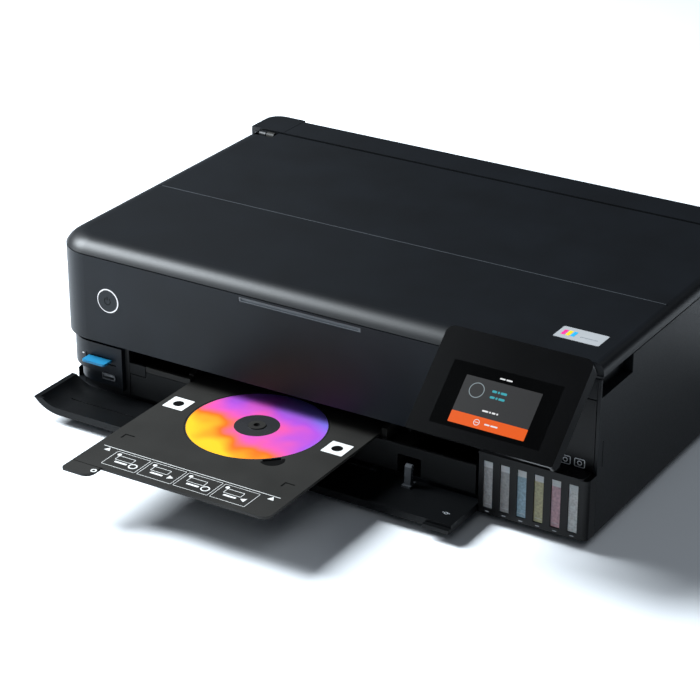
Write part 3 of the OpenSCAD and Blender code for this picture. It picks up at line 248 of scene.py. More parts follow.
@dataclass(frozen=True)
class DiscLacquer:
    """Printable disc: a dark hub and rim, and a lacquered print of soft colour waves between."""

    name: str
    centre: Point
    hub_r: float
    print_r: float
    outer_r: float
    wave_mm: float = 46.0
    sweep: Point = (0.45, 0.89, 0.0)
    waves: tuple[tuple[float, str], ...] = ((0.28, "#f0b424"), (0.40, "#e5641b"),
                                            (0.50, "#d3509c"), (0.61, "#a04cc0"),
                                            (0.74, "#7a6ad2"))
    bare: str = "#2a2a2c"
    roughness: float = 0.22
    coat: float = 0.4

    def make(self) -> bpy.types.Material:
        """Builds the disc's material round its own centre.

        Returns:
            The material.
        """
        material, tree, shader = new_material(self.name)
        coords = add_node(tree, "ShaderNodeTexCoord")
        mid = add_node(tree, "ShaderNodeMapping", {"Vector": coords.outputs["Object"]},
                       Location=tuple(-c for c in self.centre))
        radius = add_node(tree, "ShaderNodeVectorMath", {0: mid.outputs["Vector"]},
                          operation="LENGTH")
        share = add_node(tree, "ShaderNodeMath", {0: radius.outputs["Value"]},
                         operation="DIVIDE")
        share.inputs[1].default_value = self.outer_r
        drift = add_node(tree, "ShaderNodeTexNoise", {"Vector": mid.outputs["Vector"]},
                         Scale=per_mm(self.wave_mm), Detail=1.5)
        along = add_node(tree, "ShaderNodeVectorMath", {0: mid.outputs["Vector"]},
                         operation="DOT_PRODUCT")
        along.inputs[1].default_value = self.sweep
        across = add_node(tree, "ShaderNodeMapRange", {"Value": along.outputs["Value"]},
                          From_Min=-self.outer_r, From_Max=self.outer_r)
        both = add_node(tree, "ShaderNodeMath",
                        {0: drift.outputs["Fac"], 1: across.outputs["Result"]}, operation="ADD")
        mean = add_node(tree, "ShaderNodeMath", {0: both.outputs["Value"]}, operation="MULTIPLY")
        mean.inputs[1].default_value = 0.5
        waves = add_node(tree, "ShaderNodeValToRGB", {"Fac": mean.outputs["Value"]})
        set_ramp(waves, list(self.waves))
        zones = add_node(tree, "ShaderNodeValToRGB", {"Fac": share.outputs["Value"]})
        set_ramp(zones, [(0.0, "#000000"), (self.hub_r / self.outer_r, "#ffffff"),
                         (self.print_r / self.outer_r, "#000000")], Blend.STEPPED)
        colour = add_node(tree, "ShaderNodeMix",
                          {MIX_FACTOR: zones.outputs["Color"], MIX_B: waves.outputs["Color"]},
                          data_type="RGBA")
        colour.inputs[MIX_A].default_value = linear(self.bare)
        tree.links.new(colour.outputs[MIX_RESULT], shader.inputs["Base Color"])
        shader.inputs["Roughness"].default_value = self.roughness
        shader.inputs["Coat Weight"].default_value = self.coat
        return material


@dataclass(frozen=True)
class TankResin:
    """Clear tank resin with a different ink behind each window and air above the inks."""

    name: str
    first_x: float
    pitch: float
    inks: tuple[str, ...] = ("#787777", "#6e6d6d", "#607985", "#7f7a58", "#8c6a73", "#9b9b9a")
    level: float = 0.0503
    level_blur: float = 0.0004
    air: str = "#929494"
    speckle_mm: float = 2.2
    speckle_span: tuple[float, float] = (0.3, 0.7)
    speckle: tuple[float, float] = (0.62, 1.12)
    roughness: tuple[float, float] = (0.25, 0.55)
    depth_weight: float = 0.2
    depth: float = 0.003

    def make(self) -> bpy.types.Material:
        """Builds the resin with one tint for each tank along X.

        Returns:
            The material.
        """
        material, tree, shader = new_material(self.name)
        coords = add_node(tree, "ShaderNodeTexCoord")
        split = add_node(tree, "ShaderNodeSeparateXYZ", {"Vector": coords.outputs["Object"]})
        count = len(self.inks)
        low = self.first_x - self.pitch / 2
        along = add_node(tree, "ShaderNodeMapRange", {"Value": split.outputs["X"]},
                         From_Min=low, From_Max=low + count * self.pitch)
        tint = add_node(tree, "ShaderNodeValToRGB", {"Fac": along.outputs["Result"]})
        set_ramp(tint, [(i / count, ink) for i, ink in enumerate(self.inks)], Blend.STEPPED)
        cloud = add_node(tree, "ShaderNodeTexNoise", {"Vector": coords.outputs["Object"]},
                         Scale=per_mm(self.speckle_mm), Detail=4.0)
        rough = add_node(tree, "ShaderNodeMapRange", {"Value": cloud.outputs["Fac"]},
                         To_Min=self.roughness[0], To_Max=self.roughness[1])
        shade = add_node(tree, "ShaderNodeMapRange", {"Value": cloud.outputs["Fac"]},
                         From_Min=self.speckle_span[0], From_Max=self.speckle_span[1],
                         To_Min=self.speckle[0], To_Max=self.speckle[1])
        speckled = add_node(tree, "ShaderNodeVectorMath", {0: tint.outputs["Color"]},
                            operation="SCALE")
        tree.links.new(shade.outputs["Result"], speckled.inputs["Scale"])
        height = add_node(tree, "ShaderNodeMapRange", {"Value": split.outputs["Z"]},
                          From_Min=self.level - self.level_blur,
                          From_Max=self.level + self.level_blur)
        filled = add_node(tree, "ShaderNodeMix",
                          {MIX_FACTOR: height.outputs["Result"], MIX_A: speckled.outputs["Vector"]},
                          data_type="RGBA")
        filled.inputs[MIX_B].default_value = linear(self.air)
        tree.links.new(filled.outputs[MIX_RESULT], shader.inputs["Base Color"])
        tree.links.new(rough.outputs["Result"], shader.inputs["Roughness"])
        shader.inputs["Subsurface Weight"].default_value = self.depth_weight
        shader.inputs["Subsurface Scale"].default_value = self.depth
        return material


AnyFinish = Finish | LitFinish | DiscLacquer | TankResin


FINISHES: dict[str, Finish] = {
    # ABS from a spark-eroded mould: satin, near black with a blue cast
    "casing_black": Finish("abs_casing_spark_eroded", "#07090c", "#0b0e12", 0.41, ior=1.38),
    # A finer grain than the casing's: one tone lighter, with an even sheen
    "fascia_grey": Finish("abs_fascia_fine_satin", "#0b0f14", "#10151b", 0.4, ior=1.28,
                          grain_mm=0.7, grain_depth=0.08),
    # Polished ABS: a grey strip that shines more than what is round it
    "trim_grey": Finish("abs_trim_polished", "#54585d", "#5f6368", 0.25, grain_depth=0.03),
    # Satin ABS: the button stands out from the fascia by a lighter grey
    "button_black": Finish("abs_button_satin", "#14181c", "#191d22", 0.4, ior=1.3),
    # Moulded nitrile: flat black with a coarse skin
    "foot_rubber": Finish("nitrile_rubber_moulded", "#131313", "#1b1b1b", 0.85,
                          grain_mm=1.4, grain_depth=0.3),
    # Zinc-plated sheet: bright, with the fine lines of the rolling mill
    "plated_steel": Finish("zinc_plated_steel_rolled", "#a6a9ad", "#bcbfc3", 0.35, metallic=1.0,
                           grain=Grain.BRUSHED_X, grain_depth=0.15),
    # Moulded ABS: a clean mid blue with a soft shine
    "card_blue": Finish("abs_card_shell_moulded", "#186d95", "#2079a2", 0.4, ior=1.4,
                        grain_depth=0.05),
    # Textured polystyrene: a warm charcoal that scatters the light
    "tray_grey": Finish("polystyrene_tray_textured", "#21201e", "#282725", 0.5, ior=1.32,
                        grain_mm=1.0),
    # Moulded EPDM: dull and soft
    "cap_rubber": Finish("epdm_rubber_moulded", "#1a1b1c", "#222324", 0.8,
                         grain_mm=1.3, grain_depth=0.25),
    # Semi-gloss ABS: deep black with long soft reflections
    "panel_black": Finish("abs_panel_semi_gloss", "#050505", "#080809", 0.18, ior=1.2,
                          grain_depth=0.03),
    # Glass printed black behind: the darkest and smoothest face of the machine
    "screen_glass": Finish("touch_glass_black_printed", "#030303", "#050505", 0.1, ior=1.22,
                           grain_depth=0.0),
    # Float glass: clear, with a green cast and sharp reflections
    "scan_glass": Finish("float_glass_clear", "#dfeceb", "#e8f2f1", 0.03, grain_depth=0.0,
                         ior=1.52, transmission=0.92),
    # Natural acetal: a milky white with a waxy shine
    "gear_resin": Finish("acetal_gear_natural", "#d9d8d0", "#e4e3dc", 0.4, grain_depth=0.04),
    # Turned brass: warm yellow, with the lines of the lathe
    "brass": Finish("brass_turned", "#b08d3c", "#c6a250", 0.28, metallic=1.0,
                    grain=Grain.BRUSHED_Y),
    # Ground EPDM: mid grey and matt, with the lines of the grinding wheel
    "roller_rubber": Finish("epdm_roller_ground", "#46484b", "#525458", 0.7,
                            grain=Grain.BRUSHED_X, grain_depth=0.25),
    # Stamped aluminium: a soft grey metal with drawn lines
    "head_grey": Finish("aluminium_head_stamped", "#8c9095", "#a0a4a9", 0.35, metallic=1.0,
                        grain=Grain.BRUSHED_X),
    # Natural polypropylene: an off-white with a dull shine
    "pad_box": Finish("polypropylene_natural", "#cfcfc8", "#dadad4", 0.5),
    # Solder mask over copper: a glossy dark green
    "board_green": Finish("circuit_board_solder_mask", "#1f5a34", "#27673d", 0.3,
                          grain_depth=0.05),
    # Moulded nylon: matt black
    "inlet_black": Finish("nylon_inlet_moulded", "#0e0e0f", "#141415", 0.55),
    # Foam with a white face sheet: soft and bright, with no shine
    "mat_white": Finish("foam_sheet_backed", "#e6e4dc", "#f0eee8", 0.75,
                        grain_mm=1.6, grain_depth=0.3),
    # Satin foil: short brushed lines that spread the light across the badge
    "badge_silver": Finish("aluminium_foil_satin", "#b4b6b9", "#c6c8ca", 0.4, metallic=0.35,
                           grain=Grain.BRUSHED_X),
}
# Darker copies of the casing's black, as painted shade on the front cover and the side covers;
# the tank unit's black also paints shade on the panel bracket's wall. Deeper blacks for the
# cassette and the tank unit: less light comes back from them
COVER_SHADE_BLACK = Finish("abs_cover_painted_shade", "#040506", "#07080a", 0.4, ior=1.26)
SIDE_SHADE_BLACK = Finish("abs_side_cover_painted_shade", "#06080b", "#0a0d11", 0.42, ior=1.29)
CASSETTE_BLACK = Finish("polystyrene_cassette_textured", "#0c0d0e", "#111213", 0.45, ior=1.28)
TANK_BLACK_AND_SHADE = Finish("abs_tank_unit_satin", "#050506", "#08090a", 0.34, ior=1.26,
                    grain_depth=0.06)
# A pale strip of painted highlight: it stands for the light caught by the groove's edge, as one pale line across
# the lid
GROOVE_HIGHLIGHT_GREY = Finish("groove_painted_highlight", "#43464a", "#4a4d51", 0.3, ior=1.4, grain_depth=0.02)
# Painted shade: dark steel keeps the hinge pins dark in their notches
PIN_SHADE_BLACK = Finish("steel_pin_painted_shade", "#17181a", "#1e1f22", 0.45, metallic=0.8)
# Smoky clear resin: a little light comes through the hook
HOOK_RESIN = Finish("polycarbonate_hook_smoked", "#3f4246", "#4a4d51", 0.25,
                    grain_depth=0.02, transmission=0.25)
# Matt backdrop paper: a pale floor that takes a soft shadow
BACKDROP = Finish("backdrop_paper_pale", "#eef1f5", "#f3f5f8", 0.9, grain_depth=0.02,
                  drift_mm=400.0)
# Screen-printed inks on plastic: flat and even, with no light of their own
INK_WHITE = LitFinish("screen_print_white", "#d8d8d6", 0.0, 0.5)
INK_GREY = LitFinish("screen_print_grey", "#8b8e92", 0.0, 0.5)
INK_PALE = LitFinish("screen_print_pale", "#b4b7ba", 0.0, 0.5)
# The black ink also paints shade in and round the tray's thumb hole
INK_BLACK_AND_SHADE = LitFinish("screen_print_black", "#050505", 0.0, 0.5, ior=1.2)
# Inks printed on foil: clear bright colours with a slight shine
INK_PINK = LitFinish("foil_print_pink", "#e0338c", 0.0, 0.4)
INK_YELLOW = LitFinish("foil_print_yellow", "#f2c81e", 0.0, 0.4)
INK_CYAN = LitFinish("foil_print_cyan", "#27a3d6", 0.0, 0.4)
# Back-lit pixels: they keep their colour in shadow, under the dark glass
PIXEL_GREY = LitFinish("display_backlight_grey", "#2c2c2d", 1.0, 0.3, ior=1.2)
PIXEL_ORANGE = LitFinish("display_backlight_orange", "#e85a05", 1.0, 0.3, ior=1.2)
PIXEL_CYAN = LitFinish("display_backlight_cyan", "#37a3b0", 1.0, 0.3, ior=1.2)
PIXEL_RING = LitFinish("display_backlight_ring", "#8d9aa0", 1.0, 0.3, ior=1.2)
PIXEL_WHITE = LitFinish("display_backlight_white", "#e4e6e8", 1.0, 0.3, ior=1.2)
# Light pipes of milky polycarbonate: a cool white glow
LAMP_WHITE = LitFinish("light_pipe_white", "#e9eef5", 1.3, 0.3, ior=1.2)
LAMP_SMALL = LitFinish("light_pipe_small", "#dfe8f2", 1.0, 0.3, ior=1.2)


class Bench:
    """Small modelling jobs that every sub-assembly uses, each with Blender's own operators."""

    materials: dict[str, bpy.types.Material] = {}

    @staticmethod
    def clear() -> None:
        """Deselects everything."""
        bpy.ops.object.select_all(action="DESELECT")

    @classmethod
    def material(cls, finish: AnyFinish) -> bpy.types.Material:
        """Gives a finish's material, made once."""
        if finish.name not in cls.materials:
            cls.materials[finish.name] = finish.make()
        return cls.materials[finish.name]

    @classmethod
    def raise_up(cls, thickness: float, edge: float) -> bpy.types.Object:
        """Extrudes the flat outline being edited and breaks its upper edge.

        Args:
            thickness: Height of the finished plate.
            edge: Width of the bevel on the upper edge, or 0 for none.

        Returns:
            The plate, back in object mode.
        """
        bpy.ops.mesh.select_all(action="SELECT")
        bpy.ops.mesh.extrude_region_move(TRANSFORM_OT_translate={"value": (0, 0, thickness)})
        if edge:
            bpy.ops.mesh.bevel(offset=edge, segments=2, affect="EDGES")
        bpy.ops.mesh.select_all(action="SELECT")
        bpy.ops.mesh.normals_make_consistent(inside=False)
        bpy.ops.object.mode_set(mode="OBJECT")
        return bpy.context.active_object

    @classmethod
    def plate(cls, x: float, y: float, w: float, h: float, radius: float = 0.0,
              thickness: float = PRINT_T, edge: float = 0.0, rim: float = 0.0
              ) -> bpy.types.Object:
        """Makes a flat rounded plate, or a frame, on the plane Z = 0.

        Args:
            x: Middle of the plate along X.
            y: Middle of the plate along Y.
            w: Width.
            h: Height.
            radius: Corner radius.
            thickness: Thickness.
            edge: Bevel of the upper edge.
            rim: Width of the frame's bars, or 0 for a full plate.

        Returns:
            The plate.
        """
        cls.clear()
        bpy.ops.mesh.primitive_plane_add(size=1, location=(x, y, 0))
        bpy.ops.transform.resize(value=(w, h, 1))
        bpy.ops.object.transform_apply(location=True, rotation=True, scale=True)
        bpy.ops.object.mode_set(mode="EDIT")
        bpy.ops.mesh.select_all(action="SELECT")
        if radius:
            bpy.ops.mesh.bevel(offset=radius, segments=6, affect="VERTICES")
            bpy.ops.mesh.select_all(action="SELECT")
        if rim:
            bpy.ops.mesh.inset(thickness=rim)
            bpy.ops.mesh.delete(type="ONLY_FACE")
        return cls.raise_up(thickness, edge)

    @classmethod
    def ring(cls, x: float, y: float, outer: float, inner: float = 0.0, sides: int = 64,
             turn: float = 0.0) -> bpy.types.Object:
        """Makes a flat ring, disc or regular polygon on the plane Z = 0.

        Args:
            x: Middle along X.
            y: Middle along Y.
            outer: Outer radius.
            inner: Inner radius, or 0 for a full disc.
            sides: Number of sides.
            turn: Turn about Z in radians.

        Returns:
            The ring.
        """
        cls.clear()
        bpy.ops.mesh.primitive_circle_add(vertices=sides, radius=outer, fill_type="NGON",
                                          location=(x, y, 0), rotation=(0, 0, turn))
        bpy.ops.object.transform_apply(location=True, rotation=True, scale=True)
        bpy.ops.object.mode_set(mode="EDIT")
        bpy.ops.mesh.select_all(action="SELECT")
        if inner:
            bpy.ops.mesh.inset(thickness=(outer - inner) * math.cos(math.pi / sides))
            bpy.ops.mesh.delete(type="ONLY_FACE")
        return cls.raise_up(PRINT_T, 0.0)

    @classmethod
    def arc(cls, x: float, y: float, outer: float, inner: float, start: float,
            sweep: float) -> bpy.types.Object:
        """Makes a part of a flat ring by spinning a short bar.

        Args:
            x: Centre along X.
            y: Centre along Y.
            outer: Outer radius.
            inner: Inner radius.
            start: First angle in degrees.
            sweep: Angle that the arc covers in degrees.

        Returns:
            The arc.
        """
        cls.clear()
        bpy.ops.mesh.primitive_plane_add(size=1)
        bpy.ops.object.mode_set(mode="EDIT")
        bpy.ops.mesh.select_all(action="SELECT")
        bpy.ops.mesh.delete(type="VERT")
        bpy.ops.object.mode_set(mode="OBJECT")
        first = math.radians(start)
        ends = [(x + r * math.cos(first), y + r * math.sin(first), 0) for r in (inner, outer)]
        bpy.context.active_object.data.from_pydata(ends, [(0, 1)], [])
        bpy.ops.object.mode_set(mode="EDIT")
        bpy.ops.mesh.select_all(action="SELECT")
        # Spin turns clockwise about +Z, so the axis points down
        bpy.ops.mesh.spin(steps=24, angle=math.radians(sweep), center=(x, y, 0),
                          axis=(0, 0, -1))
        return cls.raise_up(PRINT_T, 0.0)

    @classmethod
    def finish(cls, name: str, pieces: list[bpy.types.Object], finish: Finish | LitFinish,
               slot: str, body: str, place: Matrix) -> bpy.types.Object:
        """Joins pieces, sets them in place and hands them to their body.

        Args:
            name: Name of the finished piece.
            pieces: Flat pieces on the plane Z = 0.
            finish: Finish of all of them.
            slot: Material slot of the record; not used.
            body: Body that the piece rides on.
            place: Where the plane Z = 0 goes.

        Returns:
            The finished piece.
        """
        cls.clear()
        for piece in pieces:
            piece.select_set(True)
        bpy.context.view_layer.objects.active = pieces[0]
        if len(pieces) > 1:
            bpy.ops.object.join()
        piece = bpy.context.active_object
        piece.name = piece.data.name = name
        piece.data.transform(place)
        piece.data.materials.clear()
        piece.data.materials.append(cls.material(finish))
        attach(piece, body)
        LOG.info("made %s on %s", name, body)
        return piece


def facing_front(y: float) -> Matrix:
    """Turns the drawing plane upright, facing the front, at a depth y."""
    return Matrix.Translation((0, y, 0)) @ Matrix.Rotation(math.pi / 2, 4, "X")


def lying_at(z: float) -> Matrix:
    """Lays the drawing plane flat at a height z."""
    return Matrix.Translation((0, 0, z))


@dataclass
class Casing:
    """All the CAD solids with their finishes, and soft moulded edges on the ones that show."""

    special: dict[str, AnyFinish] = field(default_factory=dict)
    edge_mm: float = 0.5
    edge_angle: float = 50.0
    merge_mm: float = 0.02
    soft_edges: tuple[str, ...] = (
        "document_cover", "front_panel", "control_panel", "tank_housing", "front_cover",
        "side_cover_left", "side_cover_right", "rear_cover", "paper_cassette",
        "card_slot_module", "tank_cover", "rear_feed_cover")

    def dress(self) -> None:
        """Gives every CAD node its material, and the outer ones their soft edges."""
        slots = {part["node"]: part["material_slot"] for part in frame["record"]["subparts"]}
        for name, node in frame["nodes"].items():
            finish = self.special.get(name) or FINISHES[slots[name]]
            node.data.materials.clear()
            node.data.materials.append(Bench.material(finish))
            LOG.info("dressed %s with %s", name, finish.name)
        for name in self.soft_edges:
            self.soften(frame["nodes"][name])

    def soften(self, node: bpy.types.Object) -> None:
        """Adds a narrow rounded edge, as a mould leaves it.

        Args:
            node: CAD node that gets the modifiers.
        """
        weld = node.modifiers.new("merged_corners", "WELD")
        weld.merge_threshold = self.merge_mm * MM
        bevel = node.modifiers.new("moulded_edge", "BEVEL")
        bevel.width = self.edge_mm * MM
        bevel.segments = 2
        bevel.limit_method = "ANGLE"
        bevel.angle_limit = math.radians(self.edge_angle)
        bevel.use_clamp_overlap = True
        flat = node.modifiers.new("flat_faces", "WEIGHTED_NORMAL")
        flat.weight = 100
        flat.keep_sharp = True


@dataclass(frozen=True)
class BarRow:
    """A row of short bars: its place from an anchor, the bars' height and their widths."""

    x: float
    y: float
    height: float
    widths: tuple[float, ...]
    gap: float = 0.0009
    rounding: float = 0.3

    def draw(self, x: float, y: float) -> list[bpy.types.Object]:
        """Draws the row.

        Args:
            x: Anchor along X.
            y: Anchor along Y.

        Returns:
            The bars.
        """
        left = x + self.x - (sum(self.widths) + self.gap * (len(self.widths) - 1)) / 2
        bars = []
        for width in self.widths:
            bars.append(Bench.plate(left + width / 2, y + self.y, width, self.height,
                                    self.height * self.rounding))
            left += width + self.gap
        return bars


@dataclass
class DisplayArt:
    """What the touch screen shows: a plain page with a ring, rows of bars and a stop bar."""

    pivot: Vector
    tilt: float
    face_y: float
    top_z: float
    left: float = 0.163
    right: float = 0.229
    first: float = 0.0368
    last: float = 0.0774
    bar: float = 0.0098
    corner: float = 0.0006
    ring_at: tuple[float, float] = (0.0130, -0.0106)
    ring_r: tuple[float, float] = (0.0064, 0.0058)
    progress: tuple[BarRow, ...] = (BarRow(-0.001, -0.0082, 0.0019, (0.0040, 0.0016, 0.0052)),
                                    BarRow(-0.001, -0.0132, 0.0019, (0.0040, 0.0016, 0.0052)))
    title: BarRow = BarRow(0.0, 0.0034, 0.0012, (0.0046, 0.0052))
    tally: BarRow = BarRow(-0.002, 0.0054, 0.0014, (0.0052, 0.0014, 0.0030, 0.0014))
    stop: BarRow = BarRow(0.003, 0.0, 0.0012, (0.0044, 0.0060))
    stop_x: float = -0.0095
    stop_r: tuple[float, float] = (0.0026, 0.0021)
    stop_dash: tuple[float, float, float] = (0.0034, 0.0005, 0.0002)

    def plane(self) -> Matrix:
        """Gives the plane of the screen's face, with X along the machine and Y up the panel."""
        turn = Matrix.Rotation(-self.tilt, 4, "X")
        swing = Matrix.Translation(self.pivot) @ turn @ Matrix.Translation(-self.pivot)
        return swing @ facing_front(self.face_y)

    def build(self) -> None:
        """Makes the lit page, its ring, its rows of bars and the orange stop bar."""
        place = self.plane()
        lift = place @ lying_at(PRINT_T)
        mid = (self.left + self.right) / 2
        width = self.right - self.left
        top = self.top_z - self.first
        low = self.top_z - self.last
        bar_top = low + self.bar
        bar_mid = low + self.bar / 2
        args = ("screen_glass", "control_panel")
        page = Bench.plate(mid, (top + bar_top) / 2, width, top - bar_top, self.corner)
        Bench.finish("display_page", [page], PIXEL_GREY, *args, place)
        bar = Bench.plate(mid, bar_mid, width, self.bar, self.corner)
        Bench.finish("display_stop_bar", [bar], PIXEL_ORANGE, *args, place)
        ring = Bench.ring(self.left + self.ring_at[0], top + self.ring_at[1], *self.ring_r)
        Bench.finish("display_ring", [ring], PIXEL_RING, *args, lift)
        lines = [piece for row in self.progress for piece in row.draw(mid, top)]
        Bench.finish("display_progress", lines, PIXEL_CYAN, *args, lift)
        marks = self.title.draw(mid, top) + self.tally.draw(mid, bar_top)
        marks.append(Bench.ring(mid + self.stop_x, bar_mid, *self.stop_r))
        marks.append(Bench.plate(mid + self.stop_x, bar_mid, *self.stop_dash))
        marks += self.stop.draw(mid, bar_mid)
        Bench.finish("display_marks", marks, PIXEL_WHITE, *args, lift)


class Picture(Enum):
    """The mark in a loading picture: a ring, or an arrow with its turn in radians."""

    RING = None
    ARROW_ON = 0.5
    ARROW_BACK = 1.5


@dataclass
class TrayPrint:
    """Screen print on the disc tray: sighting squares, arrows, corner marks and pictograms, with painted shade in
    and round the thumb hole.
    """

    top: float
    shift: float
    body: str = "disc_tray"
    squares: tuple[tuple[float, float], ...] = ((-0.1067, -0.031), (0.0496, -0.030))
    square: float = 0.020
    square_corner: float = 0.0008
    dot_r: float = 0.0048
    line_y: float = -0.1237
    line: tuple[float, float] = (-0.1147, 0.0562)
    line_w: float = 0.0006
    arrow_in: tuple[float, float] = (0.007, -0.0057)
    arrow_drop: float = 0.0045
    arrow_r: float = 0.0034
    frames: Rect = (-0.0997, 0.0406, -0.150, -0.1265)
    frame_share: float = 0.94
    pictures: tuple[Picture, ...] = (Picture.RING, Picture.ARROW_ON,
                                     Picture.RING, Picture.ARROW_BACK)
    corners: tuple[tuple[float, float], ...] = ((-0.1110, -0.0993), (0.0455, -0.1003))
    corner_arms: tuple[Rect, ...] = ((0.0040, 0.0, 0.0093, 0.0013),
                                     (0.0, -0.0037, 0.0013, 0.0061))
    ear_mark: tuple[float, float] = (-0.0955, -0.1634)
    ear_r: tuple[float, float] = (0.0026, 0.0014)
    thumb: tuple[float, float] = (0.0154, -0.0736)
    # Painted shade: radii, arc and drop of the black crescent and floor disc at the thumb hole
    thumb_shade_r: tuple[float, float] = (0.0104, 0.0078)
    thumb_shade_arc: tuple[float, float] = (-130.0, 170.0)
    thumb_shade_drop: float = 0.0017

    def build(self) -> None:
        """Makes the white print, the black marks, and painted shade in the thumb hole: a black disc on its floor
        and a black crescent round it.
        """
        place = Matrix.Translation((0, self.shift, self.top))
        args = ("tray_grey", self.body)
        white = [Bench.plate(x, y, self.square, self.square, self.square_corner)
                 for x, y in self.squares]
        start, end = self.line
        white.append(Bench.plate((start + end) / 2, self.line_y, end - start, self.line_w))
        x0, x1, y0, y1 = self.frames
        pitch = (x1 - x0) / len(self.pictures)
        for i, picture in enumerate(self.pictures):
            white += self.pictogram(x0 + pitch * (i + 0.5), (y0 + y1) / 2,
                                    pitch * self.frame_share, y1 - y0, picture)
        for x in (start + self.arrow_in[0], end + self.arrow_in[1]):
            white.append(Bench.ring(x, self.line_y - self.arrow_drop, self.arrow_r, sides=3))
        white.append(Bench.ring(*self.ear_mark, *self.ear_r, 32))
        Bench.finish("tray_print_white", white, INK_WHITE, *args, place)
        # A black disc of painted shade on the thumb hole's floor
        hole_shade = Bench.ring(*self.thumb, self.thumb_shade_r[1])
        Bench.finish("tray_thumb_painted_shade", [hole_shade], INK_BLACK_AND_SHADE, *args, place @ lying_at(-self.thumb_shade_drop))
        marks_and_shade = [Bench.ring(x, y, self.dot_r) for x, y in self.squares]
        # A black crescent of painted shade round the thumb hole
        marks_and_shade.append(Bench.arc(*self.thumb, *self.thumb_shade_r, *self.thumb_shade_arc))
        for x, y in self.corners:
            marks_and_shade += [Bench.plate(x + dx, y + dy, w, h) for dx, dy, w, h in self.corner_arms]
        Bench.finish("tray_black_marks_and_thumb_shade", marks_and_shade, INK_BLACK_AND_SHADE, *args, place @ lying_at(PRINT_T))

    def pictogram(self, x: float, y: float, w: float, h: float,
                  picture: Picture) -> list[bpy.types.Object]:
        """Draws one framed loading picture, with its parts as shares of the frame.

        Args:
            x: Middle along X.
            y: Middle along Y.
            w: Width of the frame.
            h: Height of the frame.
            picture: Which mark it holds.

        Returns:
            The pieces of the picture.
        """
        frame_line = Bench.plate(x, y, w, h, 0.001, rim=0.0004)
        machine = Bench.plate(x - w * 0.08, y + h * 0.12, w * 0.5, h * 0.3, 0.0008, rim=0.0005)
        sheet = Bench.plate(x - w * 0.08, y - h * 0.16, w * 0.36, h * 0.09, 0.0004)
        if picture is Picture.RING:
            mark = Bench.ring(x + w * 0.28, y - h * 0.15, w * 0.12, w * 0.085, 32)
        else:
            mark = Bench.ring(x + w * 0.3, y - h * 0.12, w * 0.1, sides=3, turn=picture.value)
        bullet = Bench.ring(x - w * 0.36, y + h * 0.32, w * 0.055, sides=24)
        return [frame_line, machine, sheet, mark, bullet]


@dataclass
class PowerMark:
    """The sign on the power button and the small lamp beside the card slot."""

    x: float
    z: float
    face: float
    module_face: float
    sign_r: tuple[float, float] = (0.0036, 0.0027)
    sign_arc: tuple[float, float] = (125.0, 290.0)
    stem_up: float = 0.0026
    stem: tuple[float, float, float] = (0.0009, 0.0034, 0.0002)
    lamp: tuple[float, ...] = (-0.2334, 0.0483, 0.0020, 0.0011, 0.0004)

    def build(self) -> None:
        """Makes the power sign and the lamp."""
        sign = [Bench.arc(self.x, self.z, *self.sign_r, *self.sign_arc),
                Bench.plate(self.x, self.z + self.stem_up, *self.stem)]
        Bench.finish("power_sign", sign, INK_BLACK_AND_SHADE, "button_black", "power_button",
                     facing_front(self.face))
        lamp = [Bench.plate(*self.lamp)]
        Bench.finish("card_lamp", lamp, LAMP_SMALL, "fascia_grey", "chassis",
                     facing_front(self.module_face))


@dataclass
class TankMarks:
    """Level lines and ticks at the tank windows, and two framed signs on the wall behind."""

    first_x: float
    pitch: float
    face: float
    wall: float
    tanks: int = 6
    low: float = 0.0175
    high: float = 0.0525
    level: tuple[float, float] = (0.0060, 0.0003)
    tick_z: float = 0.0112
    tick: tuple[float, float] = (0.0034, 0.0006)
    tick_out: float = 0.001
    sign_x: tuple[float, float] = (0.2335, 0.2460)
    sign_z: float = 0.0686
    sign: tuple[float, float, float] = (0.0094, 0.0076, 0.0014)
    sign_rim: float = 0.0007
    sign_dot: tuple[float, float] = (0.0021, 0.0014)

    def build(self) -> None:
        """Makes the level lines, the ticks and the signs."""
        places = [self.first_x + i * self.pitch for i in range(self.tanks)]
        lines = [Bench.plate(x, z, *self.level) for x in places for z in (self.high, self.low)]
        Bench.finish("tank_level_lines", lines, INK_GREY, "tank_clear", "chassis",
                     facing_front(self.face))
        ticks = [Bench.plate(x, self.tick_z, *self.tick) for x in places]
        Bench.finish("tank_ticks", ticks, INK_GREY, "panel_black", "chassis",
                     facing_front(self.face - self.tick_out))
        signs = []
        for x in self.sign_x:
            signs.append(Bench.plate(x, self.sign_z, *self.sign, rim=self.sign_rim))
            signs.append(Bench.ring(x, self.sign_z, *self.sign_dot, 32))
        Bench.finish("tank_bay_signs", signs, INK_PALE, "casing_black", "chassis",
                     facing_front(self.wall))


@dataclass
class BadgeBars:
    """Plain colour bars and a grey line on the lid's badge."""

    x: float
    y: float
    top: float
    bar: tuple[float, float, float] = (0.0032, 0.0090, 0.0005)
    bar_x: float = -0.0145
    bar_pitch: float = 0.0042
    line_at: tuple[float, float] = (0.0075, -0.002)
    line: tuple[float, float, float] = (0.0150, 0.0016, 0.0004)

    def build(self) -> None:
        """Makes three bars at the left of the badge and a line beside them."""
        place = lying_at(self.top)
        args = ("badge_silver", "document_cover", place)
        for i, ink in enumerate((INK_PINK, INK_YELLOW, INK_CYAN)):
            bar = Bench.plate(self.x + self.bar_x + i * self.bar_pitch, self.y, *self.bar)
            Bench.finish(ink.name.replace("foil_print", "badge_bar"), [bar], ink, *args)
        line = Bench.plate(self.x + self.line_at[0], self.y + self.line_at[1], *self.line)
        Bench.finish("badge_line", [line], INK_GREY, *args)


